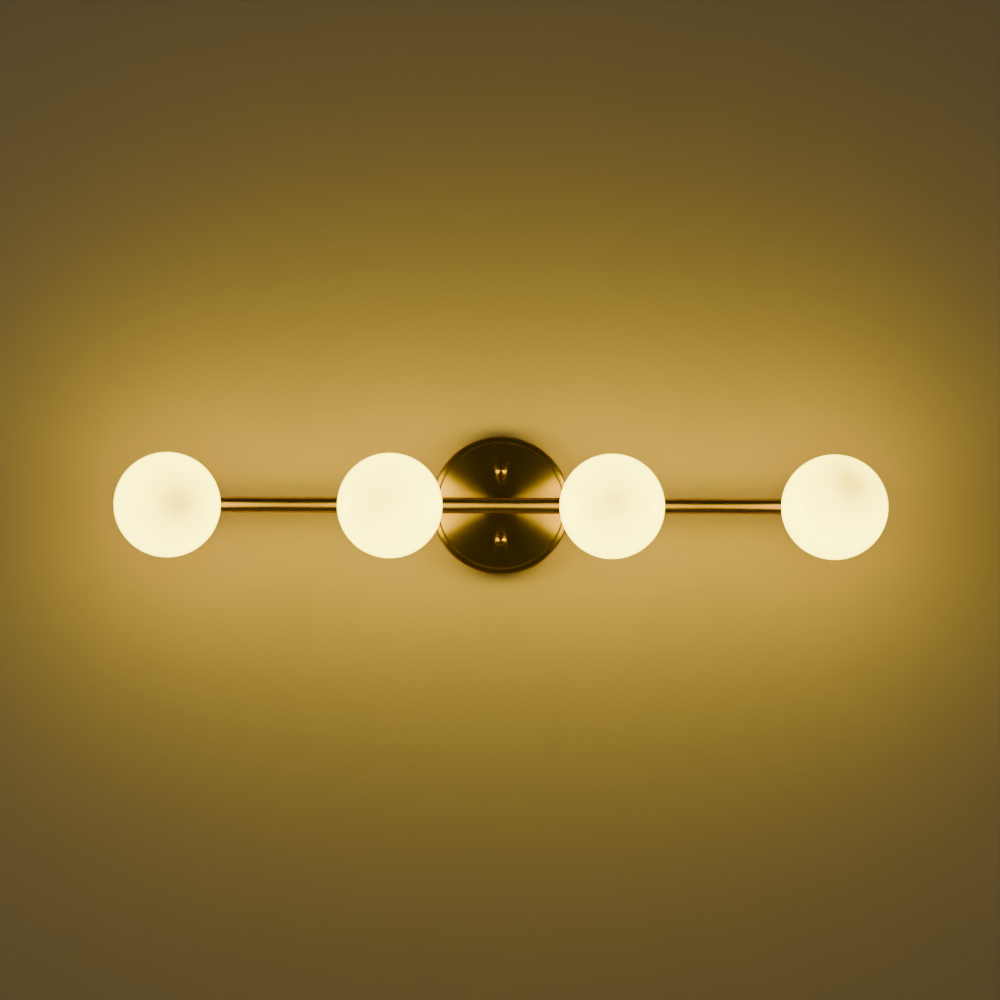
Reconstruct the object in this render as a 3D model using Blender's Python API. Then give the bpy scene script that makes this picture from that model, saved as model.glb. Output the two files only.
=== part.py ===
"""Vanity light bar with four opal globes, modelled as the separate pieces it is assembled from.

Metres, +Z up. The wall is the plane y = 0 and the light stands out from it towards -Y. The origin is
the centre of the wall bracket's back face. A turned piece is drawn as a profile of (radius, depth)
points, where depth is the distance out from the wall.
"""

import math

import bmesh
import bpy
from mathutils import Matrix, Vector

MM = 0.001

# Driving dimensions
GAP = 0.3 * MM  # clearance that touching pieces keep
GLOBE_RADIUS = 50 * MM
GLOBE_WALL = 2.5 * MM
GLOBE_PITCH = 211 * MM
GLOBE_COUNT = 4
GLOBE_DEPTH = 120 * MM  # globe centre from the wall
BAR_DEPTH = 42 * MM  # bar axis from the wall
BAR_RADIUS = 7.94 * MM
BAR_WALL = 1.2 * MM
BAR_OVERHANG = 14 * MM  # bar end beyond the outer cup's axis
CANOPY_RADIUS = 69.85 * MM
CANOPY_DEPTH = 21.5 * MM
CANOPY_SHEET = 1.0 * MM
STUD_OFFSET = 35 * MM  # each canopy stud above or below the centre
STUD_RADIUS = 2.0 * MM

# Wall bracket
BRACKET_HALF_LENGTH = 54 * MM
BRACKET_WIDTH = 20 * MM
BRACKET_THICKNESS = 2.0 * MM
BRACKET_SLOT_OFFSET = 45 * MM
BRACKET_SLOT_LENGTH = 11 * MM
BRACKET_SLOT_WIDTH = 5.2 * MM
GROUND_SCREW_OFFSET = 14 * MM
GROUND_SCREW_RADIUS = 1.75 * MM
GROUND_SCREW_HEAD_RADIUS = 3.6 * MM

# Canopy rim, seen from the front: a rounded shoulder, a narrow flange, then a step up to the face
SHOULDER_ROUND = 2.5 * MM
FLANGE_DEPTH = 18 * MM
STEP_RADIUS = 63.6 * MM
FACE_ROUND = 2.2 * MM

# Canopy fixings
STUD_TOP = 30.5 * MM
WASHER_THICKNESS = 0.8 * MM
CAP_NUT_RADIUS = 5.75 * MM
CAP_NUT_DOME = 7.5 * MM  # the dome's own radius: it is flatter than a half ball
CAP_NUT_HEIGHT = 12 * MM
CAP_NUT_BORE_DEPTH = 8 * MM

# Hollow threaded posts, M10, that carry the leads
THREAD_RADIUS = 4.9 * MM
THREAD_HOLE = THREAD_RADIUS + 0.35 * MM
STEM_BORE = 3.7 * MM
POST_BORE = 3.2 * MM
STEM_COLLAR_RADIUS = 8 * MM
POST_COLLAR_RADIUS = 7 * MM
COLLAR_BORE = 4.2 * MM
COPING_RADIUS = BAR_RADIUS + GAP
STEM_TAIL = 9.5 * MM
NUT_FLATS = 14 * MM
NUT_THICKNESS = 3 * MM

# Lamp cup, the gallery ring inside it and the gasket on its rim
CUP_RADIUS = 24 * MM
CUP_SHEET = 1.2 * MM
CUP_BACK = 54.5 * MM
CUP_RIM = 73 * MM
CUP_ROUND = 3 * MM
RING_FLANGE_RADIUS = 20.6 * MM
RING_BACK = CUP_BACK + CUP_SHEET + GAP
RING_FLOOR = RING_BACK + 1.8 * MM
RING_RADIUS = 16 * MM
RING_BORE = 13.9 * MM
RING_FRONT = 76 * MM
LEDGE_BORE = 12 * MM
LEDGE_BACK = 62 * MM
LEDGE_FRONT = 63.4 * MM
LIP_BORE = 13.2 * MM
LIP_BACK = 66.4 * MM
LIP_FRONT = 67.2 * MM
POST_TIP = 61.8 * MM
GASKET_INNER = 21.6 * MM

# Globe neck and its coarse right-hand thread
NECK_RADIUS = 20.5 * MM
NECK_BORE = 18 * MM
NECK_BACK = 66 * MM
THREAD_PITCH = 4 * MM
RIDGE_ROOT_WIDTH = 1.6 * MM
RIDGE_CREST_WIDTH = 0.8 * MM
RIDGE_ROOT_SINK = 0.5 * MM
RING_CREST = 17.4 * MM
RING_RIDGE_START = 67 * MM
RING_RIDGE_TURNS = 1.5
NECK_CREST = 16.6 * MM
NECK_RIDGE_START = RING_RIDGE_START + THREAD_PITCH / 2
NECK_RIDGE_TURNS = 1.25

# G9 lampholder and LED lamp
HOLDER_BACK = 62.2 * MM
HOLDER_FRONT = 82 * MM
HOLDER_RADIUS = 10.5 * MM
HOLDER_TAIL_RADIUS = 9.5 * MM
HOLDER_FLANGE_RADIUS = 13.5 * MM
PIN_OFFSET = 4.5 * MM
PIN_WIDTH = 3 * MM
PIN_THICKNESS = 0.8 * MM
PIN_LENGTH = 9.5 * MM
PIN_SLOT_DEPTH = 11 * MM
LAMP_BASE_FRONT = 94 * MM
LAMP_BASE_RADIUS = 6.4 * MM
LAMP_RADIUS = 7.8 * MM
LAMP_TIP = 130 * MM

# Leads and terminal block
LEAD_RADIUS = 1.1 * MM
GROUND_LEAD_RADIUS = 1.0 * MM
LANE_DROP = 3.2 * MM  # leads lie this far below the bar's axis
OUTER_LANE_DEPTH = 39.8 * MM
INNER_LANE_DEPTH = 43.4 * MM
STEM_LANE = 1.35 * MM
BLOCK_INNER_X = 22 * MM
BLOCK_OUTER_X = 39 * MM
BLOCK_HALF_HEIGHT = 15 * MM
BLOCK_BACK = 6.8 * MM
POLE_SPACING = 10 * MM
POLE_DEPTH = 13.5 * MM
POLE_BORE = 1.7 * MM

# Facets round a turned piece
FINE = 36
BAR_FACETS = 28
MEDIUM = 20
COARSE = 16


def clear_scene():
    for item in list(bpy.data.objects):
        bpy.data.objects.remove(item)


def make_material(name, colour, roughness, metallic=0.0, transmission=0.0):
    material = bpy.data.materials.new(name)
    material.use_nodes = True
    shader = material.node_tree.nodes["Principled BSDF"]
    shader.inputs["Base Color"].default_value = (*colour, 1.0)
    shader.inputs["Roughness"].default_value = roughness
    shader.inputs["Metallic"].default_value = metallic
    shader.inputs["Transmission Weight"].default_value = transmission
    material.diffuse_color = (*colour, 1.0)
    return material


def make_object(name, mesh_data, material=None, location=(0, 0, 0)):
    """Turns a bmesh into a linked object with outward faces, shaded smooth between its real edges."""
    bmesh.ops.recalc_face_normals(mesh_data, faces=mesh_data.faces)
    mesh = bpy.data.meshes.new(name)
    mesh_data.to_mesh(mesh)
    mesh_data.free()
    mesh.shade_smooth()
    mesh.set_sharp_from_angle(angle=math.radians(40))
    made = bpy.data.objects.new(name, mesh)
    made.location = location
    bpy.context.scene.collection.objects.link(made)
    if material:
        mesh.materials.append(material)
    return made


def hide_tool(tool):
    tool.hide_render = True
    tool.display_type = "WIRE"
    return tool


def apply_tool(target, tool, operation):
    """Adds an exact Boolean modifier that cuts the tool out of the target or joins it on."""
    modifier = target.modifiers.new(tool.name, "BOOLEAN")
    modifier.object = hide_tool(tool)
    modifier.operation = operation
    modifier.solver = "EXACT"
    return target


def arc(centre_radius, centre_depth, radius, start, end, steps):
    """Profile points round a centre, from one angle to another in degrees, 0 outwards and 90 forwards."""
    points = []
    for step in range(steps + 1):
        angle = math.radians(start + (end - start) * step / steps)
        point = (centre_radius + radius * math.cos(angle), centre_depth + radius * math.sin(angle))
        points.append(point)
    return points


def turned(profile, segments, closed):
    """Spins (radius, depth) points about the depth axis. A profile that isn't closed ends on the axis."""
    shape = bmesh.new()
    corners = [shape.verts.new((radius, -depth, 0)) for radius, depth in profile]
    edges = [shape.edges.new(pair) for pair in zip(corners, corners[1:])]
    if closed:
        edges.append(shape.edges.new((corners[-1], corners[0])))
    bmesh.ops.spin(
        shape,
        geom=corners + edges,
        cent=(0, 0, 0),
        axis=(0, 1, 0),
        angle=2 * math.pi,
        steps=segments,
        use_merge=True,
    )
    bmesh.ops.remove_doubles(shape, verts=shape.verts, dist=0.000001)
    return shape


def tube(outer, inner, back, front, segments):
    return turned([(inner, back), (outer, back), (outer, front), (inner, front)], segments, True)


def rod(radius, back, front, segments):
    return turned([(0, back), (radius, back), (radius, front), (0, front)], segments, False)


def prism(outline, back, front):
    """Extrudes an outline of (x, z) points between two depths."""
    shape = bmesh.new()
    face = shape.faces.new([shape.verts.new((x, -back, z)) for x, z in outline])
    grown = bmesh.ops.extrude_face_region(shape, geom=[face])
    moved = [item for item in grown["geom"] if isinstance(item, bmesh.types.BMVert)]
    bmesh.ops.translate(shape, verts=moved, vec=(0, back - front, 0))
    return shape


def block(x_low, x_high, z_low, z_high, back, front):
    return prism([(x_low, z_low), (x_high, z_low), (x_high, z_high), (x_low, z_high)], back, front)


def upright_slot(half_length, radius, steps):
    """Outline of a slot or strap with round ends that runs along Z."""
    ends = ((half_length - radius, 0), (radius - half_length, 180))
    outline = []
    for centre_z, turn in ends:
        for step in range(steps + 1):
            angle = math.radians(turn + 180 * step / steps)
            outline.append((radius * math.cos(angle), centre_z + radius * math.sin(angle)))
    return outline


def turn_to_x(shape):
    """Lays a piece made about the depth axis along the bar, so that its depth becomes +X."""
    bmesh.ops.rotate(shape, verts=shape.verts, matrix=Matrix.Rotation(math.radians(90), 3, "Z"))
    return shape


def hex_nut(name, flats, thickness, bore, back, material, location):
    """Hexagon nut. The corner radius follows from the width across flats."""
    corner = flats / (2 * math.cos(math.radians(30)))
    nut = make_object(name, rod(corner, back, back + thickness, 6), material, location)
    hole = rod(bore, back - thickness, back + 2 * thickness, 12)
    return apply_tool(nut, make_object(name + "_hole", hole, None, location), "DIFFERENCE")


def helical_ridge(root, crest, start, turns):
    """Closed ridge of one right-hand thread: its depth grows as the angle turns from +X to +Z."""
    shape = bmesh.new()
    steps = round(turns * MEDIUM)
    half_root = RIDGE_ROOT_WIDTH / 2
    half_crest = RIDGE_CREST_WIDTH / 2
    section = ((root, -half_root), (crest, -half_crest), (crest, half_crest), (root, half_root))
    rings = []
    for step in range(steps + 1):
        angle = 2 * math.pi * step / MEDIUM
        depth = start + THREAD_PITCH * step / MEDIUM
        ring = []
        for radius, offset in section:
            corner = (radius * math.cos(angle), -(depth + offset), radius * math.sin(angle))
            ring.append(shape.verts.new(corner))
        rings.append(ring)
    for here, there in zip(rings, rings[1:]):
        for side in range(len(section)):
            after = (side + 1) % len(section)
            shape.faces.new((here[side], here[after], there[after], there[side]))
    shape.faces.new(rings[0])
    shape.faces.new(rings[-1])
    return shape


def smooth_route(points, samples):
    """Points on a Catmull-Rom curve that passes through the route's own points."""
    route = [Vector(point) for point in points]
    padded = [2 * route[0] - route[1], *route, 2 * route[-1] - route[-2]]
    curve = []
    for a, b, c, d in zip(padded, padded[1:], padded[2:], padded[3:]):
        for sample in range(samples):
            t = sample / samples
            curve.append(
                0.5
                * (
                    2 * b
                    + (c - a) * t
                    + (2 * a - 5 * b + 4 * c - d) * t**2
                    + (3 * b - a - 3 * c + d) * t**3
                )
            )
    curve.append(route[-1])
    return curve


def make_lead(name, route, radius, material, samples=2):
    """Round lead along a route of (x, depth, z) points in millimetres."""
    points = smooth_route([(x * MM, -depth * MM, z * MM) for x, depth, z in route], samples)
    data = bpy.data.curves.new(name, "CURVE")
    data.dimensions = "3D"
    data.bevel_depth = radius
    data.bevel_resolution = 2
    data.use_fill_caps = True
    line = data.splines.new("POLY")
    line.points.add(len(points) - 1)
    for target, point in zip(line.points, points):
        target.co = (*point, 1)
    data.materials.append(material)
    lead = bpy.data.objects.new(name, data)
    bpy.context.scene.collection.objects.link(lead)
    return lead


def make_materials():
    return {
        "brass": make_material("brushed_brass", (0.80, 0.52, 0.20), 0.28, 1.0),
        "opal": make_material("opal_glass", (0.96, 0.94, 0.88), 0.15, 0.0, 0.3),
        "steel": make_material("zinc_steel", (0.62, 0.62, 0.60), 0.35, 1.0),
        "ceramic": make_material("white_ceramic", (0.88, 0.87, 0.83), 0.4),
        "plastic": make_material("white_plastic", (0.85, 0.85, 0.83), 0.45),
        "silicone": make_material("clear_silicone", (0.93, 0.90, 0.82), 0.3, 0.0, 0.6),
        "rubber": make_material("grey_silicone", (0.55, 0.54, 0.51), 0.7),
        "sleeve": make_material("glass_fibre_sleeve", (0.80, 0.78, 0.72), 0.8),
        "ground": make_material("ground_green", (0.10, 0.40, 0.14), 0.5),
    }


def make_bracket(materials):
    """Steel strap against the wall with two box-screw slots, two tapped stud holes and a ground hole."""
    outline = upright_slot(BRACKET_HALF_LENGTH, BRACKET_WIDTH / 2, 8)
    strap = make_object("mounting_bracket", prism(outline, 0, BRACKET_THICKNESS), materials["steel"])
    low, high = -BRACKET_THICKNESS, 2 * BRACKET_THICKNESS
    for side, way in (("upper", 1), ("lower", -1)):
        slot = prism(upright_slot(BRACKET_SLOT_LENGTH / 2, BRACKET_SLOT_WIDTH / 2, 6), low, high)
        place = (0, 0, way * BRACKET_SLOT_OFFSET)
        apply_tool(strap, make_object(f"bracket_slot_{side}", slot, None, place), "DIFFERENCE")
        hole = rod(STUD_RADIUS + GAP, low, high, COARSE)
        place = (0, 0, way * STUD_OFFSET)
        apply_tool(strap, make_object(f"bracket_hole_{side}", hole, None, place), "DIFFERENCE")
    hole = rod(GROUND_SCREW_RADIUS + GAP, low, high, 12)
    place = (0, 0, GROUND_SCREW_OFFSET)
    apply_tool(strap, make_object("bracket_ground_hole", hole, None, place), "DIFFERENCE")
    screw = [
        (0, GAP),
        (GROUND_SCREW_RADIUS, GAP),
        (GROUND_SCREW_RADIUS, BRACKET_THICKNESS + GAP),
        (GROUND_SCREW_HEAD_RADIUS, BRACKET_THICKNESS + GAP),
        (GROUND_SCREW_HEAD_RADIUS, BRACKET_THICKNESS + 5 * GAP),
        (0, BRACKET_THICKNESS + 8 * GAP),
    ]
    make_object("ground_screw", turned(screw, 12, False), materials["ground"], place)


def canopy_profile():
    """Pressed sheet pan: face, rounded step, flange, rounded shoulder and side, then the same inside."""
    face = [(THREAD_HOLE, CANOPY_DEPTH)]
    centre_radius = STEP_RADIUS - FACE_ROUND
    face += arc(centre_radius, CANOPY_DEPTH - FACE_ROUND, FACE_ROUND, 90, 0, 3)
    face += [(STEP_RADIUS + 0.6 * MM, FLANGE_DEPTH)]
    shoulder_radius = CANOPY_RADIUS - SHOULDER_ROUND
    shoulder_depth = FLANGE_DEPTH - SHOULDER_ROUND
    face += arc(shoulder_radius, shoulder_depth, SHOULDER_ROUND, 90, 0, 3)
    inner_round = SHOULDER_ROUND - CANOPY_SHEET
    back = [(CANOPY_RADIUS, 0), (CANOPY_RADIUS - CANOPY_SHEET, 0)]
    back += arc(shoulder_radius, shoulder_depth, inner_round, 0, 90, 2)
    back += [(STEP_RADIUS - 0.4 * MM, FLANGE_DEPTH - CANOPY_SHEET)]
    back += arc(centre_radius, CANOPY_DEPTH - FACE_ROUND, FACE_ROUND - CANOPY_SHEET, 0, 90, 2)
    back += [(THREAD_HOLE, CANOPY_DEPTH - CANOPY_SHEET)]
    return face + back


def make_canopy(materials):
    canopy = make_object("canopy", turned(canopy_profile(), FINE, True), materials["brass"])
    for side, way in (("upper", 1), ("lower", -1)):
        place = (0, 0, way * STUD_OFFSET)
        hole = rod(STUD_RADIUS + 2 * GAP, CANOPY_DEPTH / 2, 2 * CANOPY_DEPTH, 12)
        apply_tool(canopy, make_object(f"canopy_hole_{side}", hole, None, place), "DIFFERENCE")
        make_canopy_fixing(side, place, materials)


def make_canopy_fixing(side, place, materials):
    """Stud in the bracket, its lock nut, and the washer and domed cap nut that clamp the canopy."""
    stud = rod(STUD_RADIUS, GAP, STUD_TOP, 12)
    make_object(f"canopy_stud_{side}", stud, materials["steel"], place)
    hex_nut(
        f"stud_lock_nut_{side}",
        7 * MM,
        2.2 * MM,
        STUD_RADIUS + GAP,
        BRACKET_THICKNESS + GAP,
        materials["steel"],
        place,
    )
    washer_back = CANOPY_DEPTH + GAP
    washer = tube(5.6 * MM, STUD_RADIUS + GAP, washer_back, washer_back + WASHER_THICKNESS, COARSE)
    make_object(f"cap_nut_washer_{side}", washer, materials["brass"], place)
    back = washer_back + WASHER_THICKNESS + GAP
    bore = STUD_RADIUS + GAP
    top = back + CAP_NUT_HEIGHT
    nut = [(0, back + CAP_NUT_BORE_DEPTH + GAP), (bore, back + CAP_NUT_BORE_DEPTH)]
    nut += [(bore, back), (CAP_NUT_RADIUS - GAP, back), (CAP_NUT_RADIUS, back + GAP)]
    edge = math.degrees(math.acos(CAP_NUT_RADIUS / CAP_NUT_DOME))
    nut += arc(0, top - CAP_NUT_DOME, CAP_NUT_DOME, edge, 90, 4)
    nut[-1] = (0, top)
    make_object(f"cap_nut_{side}", turned(nut, COARSE, False), materials["brass"], place)


def make_coped_post(name, collar_radius, collar_back, collar_front, core, bore, material, x):
    """Collar with its bar end cut to the bar's round surface, on a hollow threaded core."""
    collar = tube(collar_radius, COLLAR_BORE, collar_back, collar_front, COARSE)
    post = make_object(name, collar, material, (x, 0, 0))
    half_width = 2 * collar_radius
    cope = turn_to_x(rod(COPING_RADIUS, -half_width, half_width, BAR_FACETS))
    cope_tool = make_object(name + "_cope", cope, None, (x, -BAR_DEPTH, 0))
    apply_tool(post, cope_tool, "DIFFERENCE")
    core_tube = tube(THREAD_RADIUS, bore, core[0], core[1], COARSE)
    apply_tool(post, make_object(name + "_core", core_tube, None, (x, 0, 0)), "UNION")
    return post


def make_stem(materials):
    """Standoff between canopy and bar, with its lock washer and nut inside the canopy."""
    collar_back = CANOPY_DEPTH + GAP
    core = (STEM_TAIL, BAR_DEPTH - BAR_RADIUS + BAR_WALL)
    brass = materials["brass"]
    make_coped_post("stem", STEM_COLLAR_RADIUS, collar_back, BAR_DEPTH, core, STEM_BORE, brass, 0)
    washer_front = CANOPY_DEPTH - CANOPY_SHEET - GAP
    washer_back = washer_front - WASHER_THICKNESS
    washer = tube(9 * MM, THREAD_HOLE, washer_back, washer_front, COARSE)
    make_object("stem_lock_washer", washer, materials["steel"])
    nut_back = washer_back - GAP - NUT_THICKNESS
    nut_place = (0, 0, 0)
    hex_nut("stem_nut", NUT_FLATS, NUT_THICKNESS, THREAD_HOLE, nut_back, materials["steel"], nut_place)


def cup_positions():
    first = -GLOBE_PITCH * (GLOBE_COUNT - 1) / 2
    return [first + GLOBE_PITCH * index for index in range(GLOBE_COUNT)]


def make_bar(materials):
    """Tube with a hole for each cup post in front and one for the stem behind, and a cap in each end."""
    half_length = cup_positions()[-1] + BAR_OVERHANG
    walls = tube(BAR_RADIUS, BAR_RADIUS - BAR_WALL, -half_length, half_length, BAR_FACETS)
    bar = make_object("bar_tube", turn_to_x(walls), materials["brass"], (0, -BAR_DEPTH, 0))
    holes = [("stem", 0, BAR_DEPTH - 2 * BAR_RADIUS, BAR_DEPTH)]
    for index, x in enumerate(cup_positions(), 1):
        holes.append((str(index), x, BAR_DEPTH, BAR_DEPTH + 2 * BAR_RADIUS))
    for label, x, back, front in holes:
        hole = make_object(f"bar_hole_{label}", rod(THREAD_HOLE, back, front, COARSE), None, (x, 0, 0))
        apply_tool(bar, hole, "DIFFERENCE")
    spigot = BAR_RADIUS - BAR_WALL - GAP
    cap = [(0, -5 * MM), (spigot, -5 * MM), (spigot, GAP), (BAR_RADIUS, GAP)]
    cap += [(BAR_RADIUS, 1.6 * MM), (BAR_RADIUS - 0.9 * MM, 2.4 * MM), (0, 2.8 * MM)]
    for side, way in (("left", -1), ("right", 1)):
        shape = turn_to_x(turned(cap, MEDIUM, False))
        if way < 0:
            bmesh.ops.rotate(shape, verts=shape.verts, matrix=Matrix.Rotation(math.pi, 3, "Z"))
        place = (way * half_length, -BAR_DEPTH, 0)
        make_object(f"bar_end_cap_{side}", shape, materials["brass"], place)


def make_cup(index, x, materials):
    """Post, lamp cup and the nut that clamps the cup and its gallery ring to the post."""
    core = (BAR_DEPTH + BAR_RADIUS - BAR_WALL, POST_TIP)
    collar = (POST_COLLAR_RADIUS, BAR_DEPTH, CUP_BACK - GAP)
    make_coped_post(f"cup_post_{index}", *collar, core, POST_BORE, materials["brass"], x)
    outer_round = arc(CUP_RADIUS - CUP_ROUND, CUP_BACK + CUP_ROUND, CUP_ROUND, -90, 0, 3)
    inner_radius = CUP_ROUND - CUP_SHEET
    inner_round = arc(CUP_RADIUS - CUP_ROUND, CUP_BACK + CUP_ROUND, inner_radius, 0, -90, 2)
    rim = [(CUP_RADIUS, CUP_RIM), (CUP_RADIUS - CUP_SHEET, CUP_RIM)]
    profile = [(THREAD_HOLE, CUP_BACK), *outer_round, *rim, *inner_round]
    profile.append((THREAD_HOLE, CUP_BACK + CUP_SHEET))
    make_object(f"lamp_cup_{index}", turned(profile, MEDIUM, True), materials["brass"], (x, 0, 0))
    nut = ("post_nut_" + str(index), NUT_FLATS, NUT_THICKNESS, THREAD_HOLE, RING_FLOOR + GAP)
    hex_nut(*nut, materials["steel"], (x, 0, 0))


def make_gallery_ring(index, x, materials):
    """White ring clamped in the cup. It carries the globe's thread and holds the lampholder's flange."""
    profile = [(THREAD_HOLE, RING_BACK), (RING_FLANGE_RADIUS, RING_BACK)]
    profile += [(RING_FLANGE_RADIUS, RING_FLOOR), (RING_RADIUS, RING_FLOOR)]
    profile += [(RING_RADIUS, RING_FRONT), (RING_BORE, RING_FRONT)]
    profile += [(RING_BORE, LIP_FRONT), (LIP_BORE, LIP_FRONT), (LIP_BORE, LIP_BACK)]
    profile += [(RING_BORE, LIP_BACK), (RING_BORE, LEDGE_FRONT), (LEDGE_BORE, LEDGE_FRONT)]
    profile += [(LEDGE_BORE, LEDGE_BACK), (RING_BORE, LEDGE_BACK)]
    profile += [(RING_BORE, RING_FLOOR), (THREAD_HOLE, RING_FLOOR)]
    name = f"gallery_ring_{index}"
    ring = make_object(name, turned(profile, MEDIUM, True), materials["plastic"], (x, 0, 0))
    root = RING_RADIUS - RIDGE_ROOT_SINK
    ridge = helical_ridge(root, RING_CREST, RING_RIDGE_START, RING_RIDGE_TURNS)
    apply_tool(ring, make_object(name + "_ridge", ridge, None, (x, 0, 0)), "UNION")


def sphere_depth(radius, sphere):
    """Depth of the back half of a sphere about the globe's centre, at a distance from its axis."""
    return GLOBE_DEPTH - math.sqrt(sphere**2 - radius**2)


def make_globe(index, x, materials):
    """Opal globe with a threaded neck, and the gasket between it and the cup's rim."""
    inner = GLOBE_RADIUS - GLOBE_WALL
    start = -math.degrees(math.acos(NECK_RADIUS / GLOBE_RADIUS))
    outer_arc = arc(0, GLOBE_DEPTH, GLOBE_RADIUS, start, 90, 9)
    outer_arc[-1] = (0, GLOBE_DEPTH + GLOBE_RADIUS)
    end = -math.degrees(math.acos(NECK_BORE / inner))
    inner_arc = arc(0, GLOBE_DEPTH, inner, 90, end, 8)
    inner_arc[0] = (0, GLOBE_DEPTH + inner)
    neck = [(NECK_BORE, NECK_BACK), (NECK_RADIUS, NECK_BACK)]
    profile = [*inner_arc, *neck, *outer_arc]
    name = f"glass_globe_{index}"
    globe = make_object(name, turned(profile, MEDIUM, False), materials["opal"], (x, 0, 0))
    root = NECK_BORE + RIDGE_ROOT_SINK
    ridge = helical_ridge(root, NECK_CREST, NECK_RIDGE_START, NECK_RIDGE_TURNS)
    apply_tool(globe, make_object(name + "_ridge", ridge, None, (x, 0, 0)), "UNION")
    gasket = [(GASKET_INNER, CUP_RIM + GAP), (CUP_RADIUS, CUP_RIM + GAP)]
    for radius in (CUP_RADIUS, GASKET_INNER):
        gasket.append((radius, sphere_depth(radius, GLOBE_RADIUS) - 1.5 * GAP))
    gasket_mesh = turned(gasket, MEDIUM, True)
    make_object(f"globe_gasket_{index}", gasket_mesh, materials["rubber"], (x, 0, 0))


def make_lampholder(index, x, materials):
    """Ceramic body with a flange for the gallery ring and two slots for the lamp's pins."""
    profile = [(0, HOLDER_BACK), (HOLDER_TAIL_RADIUS, HOLDER_BACK)]
    profile += [(HOLDER_TAIL_RADIUS, LEDGE_FRONT + GAP), (HOLDER_FLANGE_RADIUS, LEDGE_FRONT + GAP)]
    profile += [(HOLDER_FLANGE_RADIUS, LIP_BACK - GAP), (HOLDER_RADIUS, LIP_BACK - GAP)]
    profile += [(HOLDER_RADIUS, HOLDER_FRONT), (0, HOLDER_FRONT)]
    name = f"lampholder_{index}"
    holder = make_object(name, turned(profile, 20, False), materials["ceramic"], (x, 0, 0))
    half_x = PIN_THICKNESS / 2 + GAP
    half_z = PIN_WIDTH / 2 + GAP
    for side, way in (("left", -1), ("right", 1)):
        middle = way * PIN_OFFSET
        bottom = HOLDER_FRONT - PIN_SLOT_DEPTH
        slot = block(middle - half_x, middle + half_x, -half_z, half_z, bottom, HOLDER_FRONT + GAP)
        tool = make_object(f"{name}_slot_{side}", slot, None, (x, 0, 0))
        apply_tool(holder, tool, "DIFFERENCE")


def make_lamp(index, x, materials):
    """Two-pin LED lamp: a ceramic base with flat pins, and the silicone body that holds the diodes."""
    back = HOLDER_FRONT + GAP
    profile = [(0, back), (LAMP_BASE_RADIUS, back), (LAMP_RADIUS, LAMP_BASE_FRONT)]
    profile.append((0, LAMP_BASE_FRONT))
    name = f"lamp_base_{index}"
    base = make_object(name, turned(profile, COARSE, False), materials["ceramic"], (x, 0, 0))
    for side, way in (("left", -1), ("right", 1)):
        low = way * PIN_OFFSET - PIN_THICKNESS / 2
        high = low + PIN_THICKNESS
        half_z = PIN_WIDTH / 2
        pin = block(low, high, -half_z, half_z, HOLDER_FRONT - PIN_LENGTH, back + 3 * MM)
        apply_tool(base, make_object(f"{name}_pin_{side}", pin, None, (x, 0, 0)), "UNION")
    body = [(0, LAMP_BASE_FRONT + GAP), (LAMP_RADIUS, LAMP_BASE_FRONT + GAP)]
    body += arc(0, LAMP_TIP - LAMP_RADIUS, LAMP_RADIUS, 0, 90, 4)
    body[-1] = (0, LAMP_TIP)
    body_mesh = turned(body, COARSE, False)
    make_object(f"lamp_body_{index}", body_mesh, materials["silicone"], (x, 0, 0))


def lead_route(x):
    """Route from a lampholder, through its post, the bar and the stem, to the terminal block."""
    way = 1 if x > 0 else -1
    outer = abs(x) > GLOBE_PITCH
    far = x / MM
    drop = -LANE_DROP / MM
    lane = (OUTER_LANE_DEPTH if outer else INNER_LANE_DEPTH) / MM
    row = -way if outer else way
    lift = (-1 if outer else 1) * STEM_LANE / MM
    side = way * STEM_LANE / MM
    post = [(far, 61.8, 0), (far, 56, 0), (far, 50, 0)]
    into_bar = [
        (far - way * 0.8, lane + 4.6, -0.9),
        (far - way * 3.3, lane + 1.4, -2.2),
        (far - way * 8, lane + 0.1, drop),
        (far - way * 14, lane, drop),
    ]
    along_bar = [(way * 40, lane, drop), (way * 12, lane, drop)]
    into_stem = [
        (way * 6.5, lane - 0.3, drop),
        (way * 2.9, lane - 1.9, (drop + lift) / 2),
        (side, lane - 5.4, lift),
        (side, 26, lift),
        (side, 13, lift),
    ]
    if way > 0:
        out = [(1.35, 9.6, lift), (3.3, 7.3, 1.6 * lift), (7.4, 7.0, 3.1 * lift), (12, 8.4, 4.2 * lift)]
    else:
        out = [(-1.3, 7.6, lift), (1.0, 4.5, lift), (6.2, 4.0, 1.3 * lift), (12, 4.5, 2.0 * lift)]
    return post + into_bar + along_bar + into_stem + out


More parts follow.
